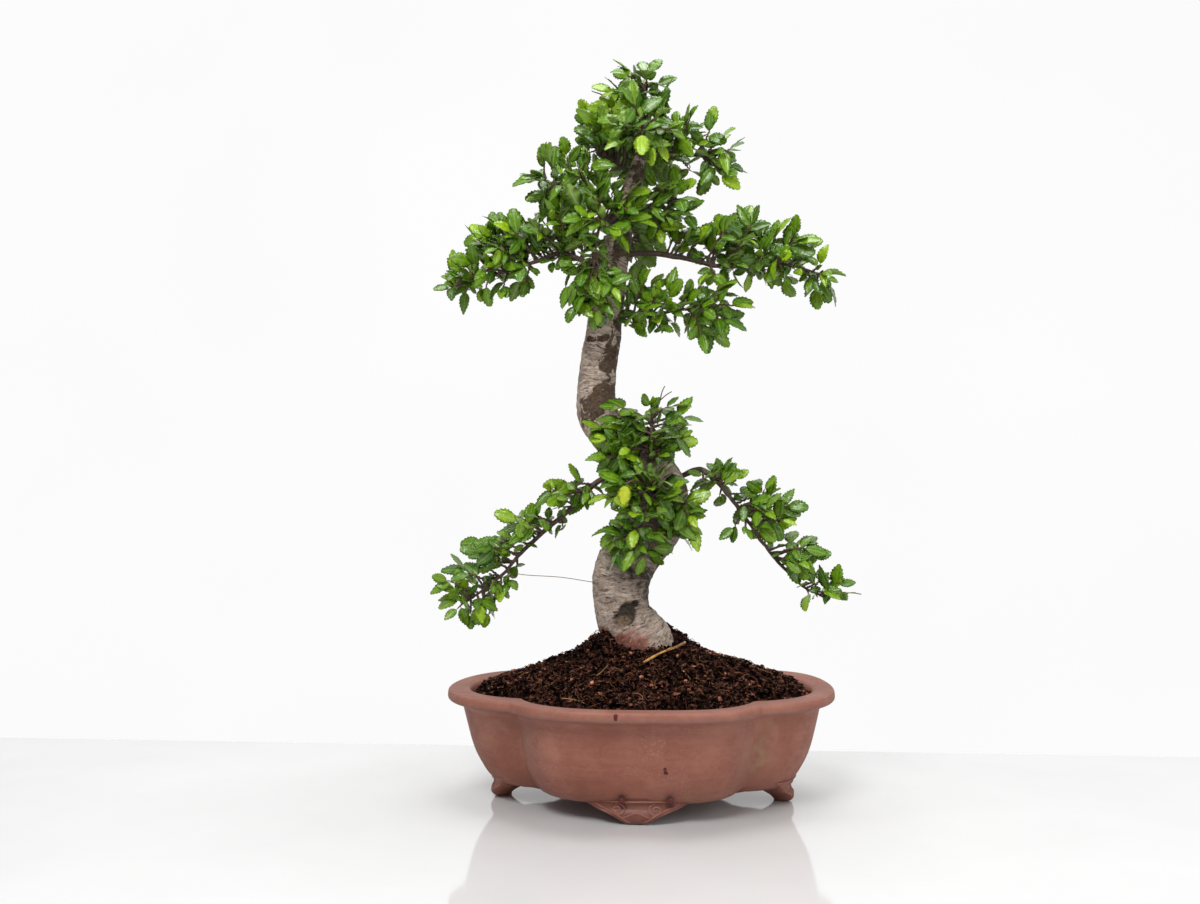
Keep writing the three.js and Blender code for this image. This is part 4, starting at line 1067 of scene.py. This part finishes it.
def make_trunk(bark):
    trunk = Surface()
    shares = np.linspace(0, 1, TRUNK_ROWS)
    line = spline(TRUNK, TRUNK_ROWS)
    path, radii = line[:, :3], line[:, 3]
    angles = full_turn(TRUNK_SIDES)
    radial = square_directions(path, TRUNK_SIDES, (0, -1, 0))
    radius = radii[:, None] * trunk_radius(shares[:, None], angles[None, :])
    rings = path[:, None, :] + radius[..., None] * radial
    height = rings[..., 2]
    # flutes of the root flare, swellings, and small relief
    flare = clamp((140 - height) / 34) ** 1.5
    push = 2.4 * flare * np.sin(5 * angles[None, :] + 0.7) + 0.9 * lumps(rings, 22, 1.0, 3)
    push += 0.45 * lumps(rings * np.array([1, 1, 4.5]), 9, 4.0, 3)
    push += 0.22 * lumps(rings * np.array([1, 1, 2.0]), 3.2, 7.0, 2)

    def patch(x, z, wide, tall, lean=0.0, ragged=0.35):
        dx, dz = rings[..., 0] - x, height - z
        a = dx * math.cos(lean) + dz * math.sin(lean)
        b = dz * math.cos(lean) - dx * math.sin(lean)
        front = radial[..., 1] < 0.15
        rough = 1 + ragged * lumps(rings, 6, 11.0, 2)
        return np.where(front, np.sqrt((a / wide) ** 2 + (b / tall) ** 2) * rough, 9.0)

    knot = np.minimum(patch(-10.2, 145.2, 7.3, 9.5, 0.0, 0.16), patch(-4.2, 152.4, 4.0, 2.7, 0.1, 0.2))
    knot = np.minimum(knot, patch(-17.2, 142.2, 3.0, 2.6, 0.0, 0.2))
    low_lip = patch(-12.4, 139.6, 7.0, 4.4, 0.2, 0.25)
    scar = clamp((1.0 - knot) / 0.1)
    x, y = rings[..., 0], rings[..., 1]
    # dark streaky patch on the right of the lower trunk: partly bark colour, partly painted shade where the
    # trunk turns away from the light
    slanted = np.stack([x * 0.83 - height * 0.56, y, x * 0.56 + height * 0.83], -1)
    streaks = np.clip(1.25 + 2.6 * lumps(slanted * np.array([0.28, 0.6, 1.0]), 2.6, 5.0, 3), 0.4, 1)
    smudge = np.maximum(np.clip(1.5 - patch(1.0, 172.0, 11.5, 6.6, -0.6, 0.45), 0, 0.5),
                      np.clip(1.5 - patch(6.0, 161.5, 3.4, 11.0, 0.1, 0.45), 0, 0.5)) * 2
    lip = clamp((1.0 - low_lip) / 0.2)
    push -= 3.0 * scar * clamp(1.15 - knot)
    push += 1.6 * hump((knot - 1.12) / 0.16) * (knot < 8)
    push += 1.1 * lip
    ring_mark = patch(-34.5, 357.0, 8.5, 3.2, 0.1)
    push += 1.3 * hump((ring_mark - 0.9) / 0.25) * (ring_mark < 8)
    for knob_x, knob_z, size in TRUNK_KNOBS:
        push += 1.5 * hump(patch(knob_x, knob_z, size, size))
    rings = rings + push[..., None] * radial
    right = radial[..., 0]
    peel = 0.30 + 0.28 * lumps(rings, 38, 6.0, 2)
    upper_bend = 0.42 * clamp((height - 288) / 20) * clamp((392 - height) / 20)
    peel += upper_bend * clamp(right * 2.2 - 0.2)
    flakes = clamp(-0.2 + lumps(rings, 16, 8.0, 2) * 1.6)
    peel += 0.36 * clamp((height - 268) / 30) * flakes
    peel += 0.30 * clamp((height - 395) / 20)
    peel += 0.5 * clamp((1.1 - ring_mark) / 0.3)
    peel -= 0.22 * clamp((190 - height) / 30)
    peel -= 0.16 * clamp((height - 318) / 15) * clamp(-3 * right)
    ragged_height = height - 7 * lumps(rings, 9, 3.0, 3)
    stain = clamp((134 - ragged_height) / 7)
    x = rings[..., 0]
    stain *= hump(np.minimum(0, x + 21) / 6) * hump(np.maximum(0, x) / 6)
    soil_line = 127.0 + 8.5 * clamp(-x / 20) - 5.0 * clamp(x / 14)
    dust = clamp((soil_line - ragged_height) / 3.5)
    along = np.concatenate([[0], np.cumsum(np.linalg.norm(np.diff(path, axis=0), axis=1))]) * MM
    # the scar value darkens the knot, and also the streaky patch, which is partly painted shade
    dark = np.maximum(scar, 0.92 * smudge * streaks)
    values = {"peel": peel.ravel(), "stain": stain.ravel(), "dust": dust.ravel(), "scar": dark.ravel(),
              "lip": (lip * (1 - 0.3 * scar)).ravel(), "along": np.repeat(along, TRUNK_SIDES)}
    trunk.grid(rings, point_values=values)
    plain = {"peel": 0.2, "stain": 0.9, "dust": 0.9, "scar": 0.0, "lip": 0.0, "along": 0.0}
    for angle, length, dip in ROOTS:
        points = [(reach * math.cos(angle), reach * math.sin(angle), ROOT_START - drop)
                  for reach, drop in ((6, 0), (length * 0.5, dip * 0.3), (length, dip))]
        trunk.tube(spline(np.array(points), 30), np.linspace(9, 3, 30), 16,
                   wobble=lambda tube: 0.8 * lumps(tube, 9, 2.0)[..., None], point_values=plain)
    trunk.build("trunk_bark", bark, "bark", ["trunk"])


# Branches

LEAF_KINDS = [
    # how full the base is, how full the tip is, width as a share of the length, fold, droop
    (0.56, 0.80, 0.57, 0.20, 0.14), (0.64, 0.90, 0.51, 0.30, 0.05), (0.70, 0.66, 0.61, 0.12, 0.22),
    (0.52, 1.02, 0.45, 0.36, 0.18), (0.80, 0.70, 0.57, 0.18, 0.30), (0.58, 0.70, 0.63, 0.10, 0.12),
    (0.64, 0.86, 0.53, 0.42, 0.26), (0.74, 0.78, 0.55, 0.24, -0.10),
]
TEETH = 7
LEAF_ROWS = 2 * TEETH
LEAF_COLUMNS = (-1, -0.5, 0, 0.5, 1)


def leaf_kind(kind):
    """Points of one blade of length 1 along +X with its face up +Z; faces; texture places."""
    base_full, tip_full, wide, fold, droop = kind
    shares = np.linspace(0, 1, LEAF_ROWS + 1)
    half = shares ** base_full * (1 - shares) ** tip_full
    half = wide / 2 * half / half.max()
    saw = np.where((np.arange(LEAF_ROWS + 1) % 2 == 1) & (shares > 0.14), 0.19, 0.0)
    top = []
    for share, width, tooth in zip(shares, half, saw):
        for column in LEAF_COLUMNS:
            reach = width * (1 + (tooth if abs(column) == 1 else 0))
            ripple = 0.012 * math.sin(share * 17 + column * 2) * abs(column)
            crown = 0.03 * (1 - abs(column)) * math.sin(math.pi * share)
            top.append((share + 0.20 * tooth * abs(column), column * reach,
                        fold * abs(column) * width + crown * 0.5 + ripple - droop * share ** 2))
    top = np.array(top)
    middle = top.reshape(-1, 5, 3)[:, 2].copy()
    middle[:, 2] -= 0.022 * np.sin(np.pi * np.clip(shares, 0.02, 0.98)) ** 0.5
    points = np.vstack([top, middle])
    faces, under = [], []
    for row in range(LEAF_ROWS):
        for column in range(4):
            a = row * 5 + column
            faces.append((a, a + 5, a + 6, a + 1))
            under.append(0.0)
    first = len(top)
    for row in range(LEAF_ROWS):
        left, right, low = row * 5, row * 5 + 4, first + row
        faces.append((left, low, low + 1, left + 5))
        faces.append((low, right, right + 5, low + 1))
        under.extend((1.0, 1.0))
    places = [((column + 1) / 2, share) for share in shares for column in LEAF_COLUMNS]
    places += [(0.5, share) for share in shares]
    return points, faces, np.array(under), np.array(places)


KINDS = [leaf_kind(kind) for kind in LEAF_KINDS]


def add_leaf(leaves, wood, base, axis, normal, length, tone, draw):
    """One leaf with its stalk: the blade points along its axis and its face looks along its normal."""
    points, faces, under, places = KINDS[int(draw() * len(KINDS)) % len(KINDS)]
    stalk = 0.10 * length
    start = base + axis * stalk
    directions = np.stack([axis, np.cross(normal, axis), normal])
    curl = 1 + 0.5 * (draw() - 0.5)
    shaped = points * np.array([length, length, length * curl])
    leaves.add(shaped @ directions + start, faces, point_values={"tone": tone, "chance": draw()},
               face_values={"under": under}, uvs=places)
    path = [base - axis * 0.3, base + axis * stalk * 0.6, start + axis * 0.04 * length]
    wood.tube(path, [0.34, 0.28, 0.2], 4, point_values={"young": 1.0})


TRUNK_LINE = spline(TRUNK, 120)


def trunk_distance(point):
    gaps = np.linalg.norm(TRUNK_LINE[:, :3] - point, axis=1) - TRUNK_LINE[:, 3]
    return gaps.min()


def bezier(root, bow, tip, share):
    return (1 - share) ** 2 * root + 2 * share * (1 - share) * bow + share ** 2 * tip


def any_way(draw, middle=(0.5, 0.5, 0.5)):
    """Random direction, evenly spread when the middle is 0.5 all three ways."""
    return np.array([draw(), draw(), draw()]) - middle


def shoot_points(limb, pad, k, draw):
    """Root, bow and tip of the k-th shoot of a leafy mass, as in the frame."""
    centre, half, shoots = np.array(pad[0], float), np.array(pad[1], float), pad[2]
    height = 1 - (2 * k + 1) / shoots
    turn = k * GOLDEN_ANGLE + centre[0]
    around = math.sqrt(1 - height * height)
    depth = SHALLOWEST_SHOOT + (1 - SHALLOWEST_SHOOT) * draw()
    reach = depth * (half - LEAF_LENGTH / 2)
    tip = centre + reach * np.array([around * math.cos(turn), around * math.sin(turn), height])
    shares = 0.12 + 0.88 * np.arange(23) / 22
    gaps = [np.linalg.norm(spline_point(limb, s) - tip) for s in shares]
    best, nearest = min(gaps), shares[int(np.argmin(gaps))]
    limb_length = path_length(spline(limb, 201))
    root = spline_point(limb, max(0.1, nearest - SHOOT_LEAN * best / limb_length))
    bow = (root + tip) / 2
    bow = bow + np.array([0, 0, SHOOT_ARCH * best])
    bow[0] += SHOOT_SWAY * best * (draw() - 0.5)
    bow[1] += SHOOT_SWAY * best * (draw() - 0.5)
    return root, bow, tip


def grow_shoot(leaves, wood, root, bow, tip, centre, draw, size, pitch):
    """One shoot with its leaves left and right in turn and one at its tip."""
    level = draw() < LEVEL_SHARE
    behind = tip[1] > BACK_SHOOTS
    forward = (0.3 if level else FACE_FRONT) * (1 if behind else -1)
    face = np.array([0, forward, 1.0 if level else FACE_UP]) + FACE_OUT * unit(tip - centre)
    face = square_to(face + FACE_RANDOM * any_way(draw), unit(tip - root))
    light = LIGHT * np.array([1, -1, 1]) if behind else LIGHT
    path = bezier(root, bow, tip, np.linspace(0, 1, SHOOT_POINTS)[:, None])
    kink = square_to(any_way(draw), unit(tip - root))
    zigzag = np.array([0] + [0.45 * (-1) ** i for i in range(SHOOT_POINTS - 2)] + [0])[:, None]
    path = path + zigzag * kink
    length = path_length(path)
    radii = np.linspace(SHOOT_RADIUS, SHOOT_TIP_RADIUS, SHOOT_POINTS) * (0.75 + 0.25 * size)
    young = np.repeat(np.linspace(0.0, 1.0, SHOOT_POINTS) ** 2, SHOOT_SIDES)
    wood.tube(path, radii, SHOOT_SIDES, point_values={"young": young})

    count = max(1, int(0.84 * length / pitch))
    youth = draw() ** 1.6
    for i in range(count + 1):
        share = 1.0 if i == 0 else 1 - (i - 0.45) * pitch / length
        if share < 0.12:
            break
        stretch = share * (SHOOT_POINTS - 1)
        low = min(int(stretch), SHOOT_POINTS - 2)
        step = path[low + 1] - path[low]
        at, along = path[low] + step * (stretch - low), unit(step)
        up = square_to(face, along)
        across = np.cross(up, along)
        side = 0 if i == 0 else 1 if i % 2 else -1
        angle = side * (LEAF_ANGLE + 0.5 * (draw() - 0.5))
        axis = unit(math.cos(angle) * along + math.sin(angle) * across + 1.1 * (draw() - 0.45) * up)
        normal = square_to(up + LEAF_TURN * any_way(draw) + LIGHT_PULL * light, axis)
        place = i / count
        leaf = size * (9.0 + 7.0 * math.sin(math.pi * (0.28 + 0.62 * place))) * (0.72 + 0.56 * draw())
        tone = OLDEST_TONE + 0.38 * draw() + (0.36 * youth + 0.08) * math.exp(-3.2 * place)
        room = min(trunk_distance(at + axis * leaf), trunk_distance(at + axis * leaf * 0.5))
        if room > LEAF_CLEARANCE:
            add_leaf(leaves, wood, at, axis, normal, leaf, min(tone, PALEST_TONE), draw)


def make_limb(wood, number, limb, thick, thin):
    """Limb with small bends and knobs along its path; returns its length."""
    line = spline(limb, LIMB_STEPS * (len(limb) - 1) + 1)
    sway = np.stack([lumps(line, 14, number + seed, 2) for seed in (0.3, 5.3, 9.3)], axis=1)
    fade = np.sin(np.linspace(0, math.pi, len(line)))[:, None]
    line = line + 0.9 * sway * fade
    knobs = 1 + 0.10 * lumps(line, 7, number + 2.0, 2)
    young = np.repeat(np.linspace(0, 0.35, len(line)) ** 2, LIMB_SIDES)
    wood.tube(line, LIMB_SCALE * np.linspace(thick, thin, len(line)) * knobs, LIMB_SIDES,
              wobble=lambda rings: 0.35 * lumps(rings, 4.5, number)[..., None], point_values={"young": young})
    return path_length(line)


def grow_pad(leaves, wood, limb, pad, seed, pitch):
    """Shoots of one leafy mass, with twiglets from the middle of the longer ones."""
    centre, half = np.array(pad[0], float), np.array(pad[1])
    for k in range(pad[2]):
        draw = random_from(seed + k)
        root, bow, tip = shoot_points(limb, pad, k, draw)
        length = np.linalg.norm(tip - root)
        if length < SHORTEST_SHOOT:
            continue
        grow_shoot(leaves, wood, root, bow, tip, centre, draw, 1.0, pitch)
        for share in TWIGLET_PLACES:
            if length < TWIGLET_ROOM / (1 - share):
                continue
            at = bezier(root, bow, tip, share)
            turn = square_to(any_way(draw, (0.5, 0.5, 0.4)), unit(tip - root))
            end = at + 0.25 * (tip - root) + turn * (9 + 8 * draw())
            if np.abs((end - centre) / half).max() < 0.95:
                grow_shoot(leaves, wood, at, (at + end) / 2 + turn, end, centre, draw, TWIGLET_SIZE, pitch)


def grow_spurs(leaves, wood, limb, length, name, draw, pitch):
    """Short shoots straight from the limb."""
    bare = BARE_SHARES.get(name, BARE_SHARE)
    middle = (0.5, 1.3 if "front" in name else 0.5, 0.35)
    for spur in range(int(length * (1 - bare) / SPUR_SPACING)):
        share = bare + (spur + draw()) * SPUR_SPACING / length
        at = spline_point(limb, min(1.0, share))
        beyond = min(1.0, share + 0.02)
        ahead = unit(spline_point(limb, beyond) - spline_point(limb, beyond - 0.03))
        turn = square_to(any_way(draw, middle), ahead)
        end = at + (7 + 8 * draw()) * unit(turn + 0.6 * ahead)
        if trunk_distance(end) > SPUR_CLEARANCE:
            bow = (at + end) / 2 + 0.1 * turn
            grow_shoot(leaves, wood, at, bow, end, at - 3 * ahead, draw, SPUR_SIZE, pitch)


def add_yellow_leaf(leaves, wood, draw):
    """Old leaf that hangs from a thin twig in front of the trunk."""
    start, base, length = np.array(YELLOW_LEAF[0]), np.array(YELLOW_LEAF[1]), YELLOW_LEAF[2]
    wood.tube([start, (start + base) / 2 + (0, 0, 3), base], [1.0, 0.7, 0.5], 6, point_values={"young": 0.7})
    down = unit(np.array([-0.08, -0.12, -1.0]))
    add_leaf(leaves, wood, base, down, square_to(np.array([0.15, -1.0, 0.3]), down), length, 1.0, draw)


def make_branch(number, branch, leaf, twig):
    name, (thick, thin), path, pads = branch
    leaves, wood = Surface(), Surface()
    pitch = LOOSE_PITCH if name in LOOSE_BRANCHES else LEAF_PITCH
    limb = np.array(path, float)
    length = make_limb(wood, number, limb, thick, thin)
    for pad_number, pad in enumerate(pads):
        grow_pad(leaves, wood, limb, pad, 10000 * number + 100 * pad_number, pitch)
    draw = random_from(500 + number)
    grow_spurs(leaves, wood, limb, length, name, draw, pitch)
    if name == "branch_front_hang":
        add_yellow_leaf(leaves, wood, draw)
    wood.build(name + "_wood", twig, "bark", [name])
    leaves.build(name + "_leaves", leaf, "leaf", [name])


def make_fine_shoot(twig):
    """Hair-thin shoot from the low left branch back to the trunk, and four bare tips."""
    hair = Surface()
    hair.tube(spline(np.array(HAIR, float), 40), 0.28, 5, point_values={"young": 0.9})
    hair.build("fine_shoot", twig, "bark")
    tips = Surface()
    for base, top, radius in BARE_TIPS:
        base, top = np.array(base, float), np.array(top, float)
        line = [base + (top - base) * s + np.array([0.6 * math.sin(6 * s), 0, 0])
                for s in np.linspace(0, 1, 9)]
        tips.tube(line, np.linspace(radius, 0.35, 9), 6, point_values={"young": 0.3})
    tips.build("bare_tips", twig, "bark")


def make_drain_meshes(plastic):
    """Square net of thin bars over each drain hole; the outer bars are wider."""
    for side, node in ((-1, "drain_mesh_left"), (1, "drain_mesh_right")):
        net = Surface()
        centre = side * DRAIN_SPACING / 2
        for crosswise in (False, True):
            for bar in range(NET_BARS + 1):
                at = -NET_SIZE / 2 + 0.6 + (NET_SIZE - 1.2) * bar / NET_BARS
                half = 1.0 if bar in (0, NET_BARS) else 0.55
                wide = NET_THICKNESS / 2 * (0.98 if crosswise else 0.9)
                across, height = (BAR_SECTION * (half, wide)).T
                across, height = across + at, height + FLOOR + 0.3 + NET_THICKNESS / 2
                ends = []
                for end in (-NET_SIZE / 2, NET_SIZE / 2):
                    along = np.full(len(across), end)
                    row = [centre + across, along, height] if crosswise else [centre + along, -across, height]
                    ends.append(np.stack(row, axis=1))
                net.grid(np.array(ends))
        net.build(node + "_net", plastic, "mesh", [node], smooth=False)


def make_stage():
    """Pale table that ends behind the pot, white backdrop and soft lights."""
    floor = [(-4, -4, 0), (4, -4, 0), (4, TABLE_END, 0), (-4, TABLE_END, 0)]
    backdrop = [(-1.7, 1.5, -0.7), (1.7, 1.5, -0.7), (1.7, 1.5, 2.4), (-1.7, 1.5, 2.4)]
    for name, corners, material in (("floor", floor, floor_material()),
                                    ("backdrop", backdrop, backdrop_material())):
        mesh = bpy.data.meshes.new(name)
        mesh.from_pydata(corners, [], [(0, 1, 2, 3)])
        mesh.materials.append(material)
        panel = bpy.data.objects.new(name, mesh)
        bpy.context.scene.collection.objects.link(panel)

    world = bpy.data.worlds.new("studio")
    bpy.context.scene.world = world
    world.use_nodes = True
    background = world.node_tree.nodes["Background"]
    background.inputs["Color"].default_value = (1.0, 1.0, 1.0, 1.0)
    background.inputs["Strength"].default_value = WORLD_STRENGTH

    for name, place, size, power in LIGHTS:
        light = bpy.data.lights.new(name, "AREA")
        light.energy, light.size = power, size
        lamp = bpy.data.objects.new(name, light)
        lamp.location = place
        lamp.rotation_euler = (Vector(LIGHTS_AIM) - Vector(place)).to_track_quat("-Z", "Y").to_euler()
        bpy.context.scene.collection.objects.link(lamp)


def make_camera():
    """Level camera in front of the pot, a little to the right of its middle."""
    data = bpy.data.cameras.new("camera")
    data.sensor_width, data.lens = 36.0, 36.0
    data.shift_y = 45.0 / PICTURE_WIDTH
    data.clip_start, data.clip_end = 0.01, 50.0
    camera = bpy.data.objects.new("camera", data)
    camera.location = (CAMERA_DISTANCE * math.sin(CAMERA_TURN), -CAMERA_DISTANCE * math.cos(CAMERA_TURN),
                       CAMERA_HEIGHT)
    camera.rotation_euler = (math.pi / 2, 0, CAMERA_TURN + math.atan(41.5 / PICTURE_WIDTH))
    bpy.context.scene.collection.objects.link(camera)
    bpy.context.scene.camera = camera


make_camera()
make_stage()
bpy.context.scene.view_settings.view_transform = "Standard"

make_pot(clay_material())
make_drips(water_material())
make_mound(soil_material())
soil_draw = random_from(77)
make_crumbs(crumb_material(), soil_draw)
make_threads(fibre_material(), soil_draw)
make_straw(straw_material())
make_trunk(bark_material())
twig, leaf = twig_material(), leaf_material()
for number, branch in enumerate(BRANCHES):
    make_branch(number, branch, leaf, twig)
make_fine_shoot(twig)
make_drain_meshes(plastic_material())
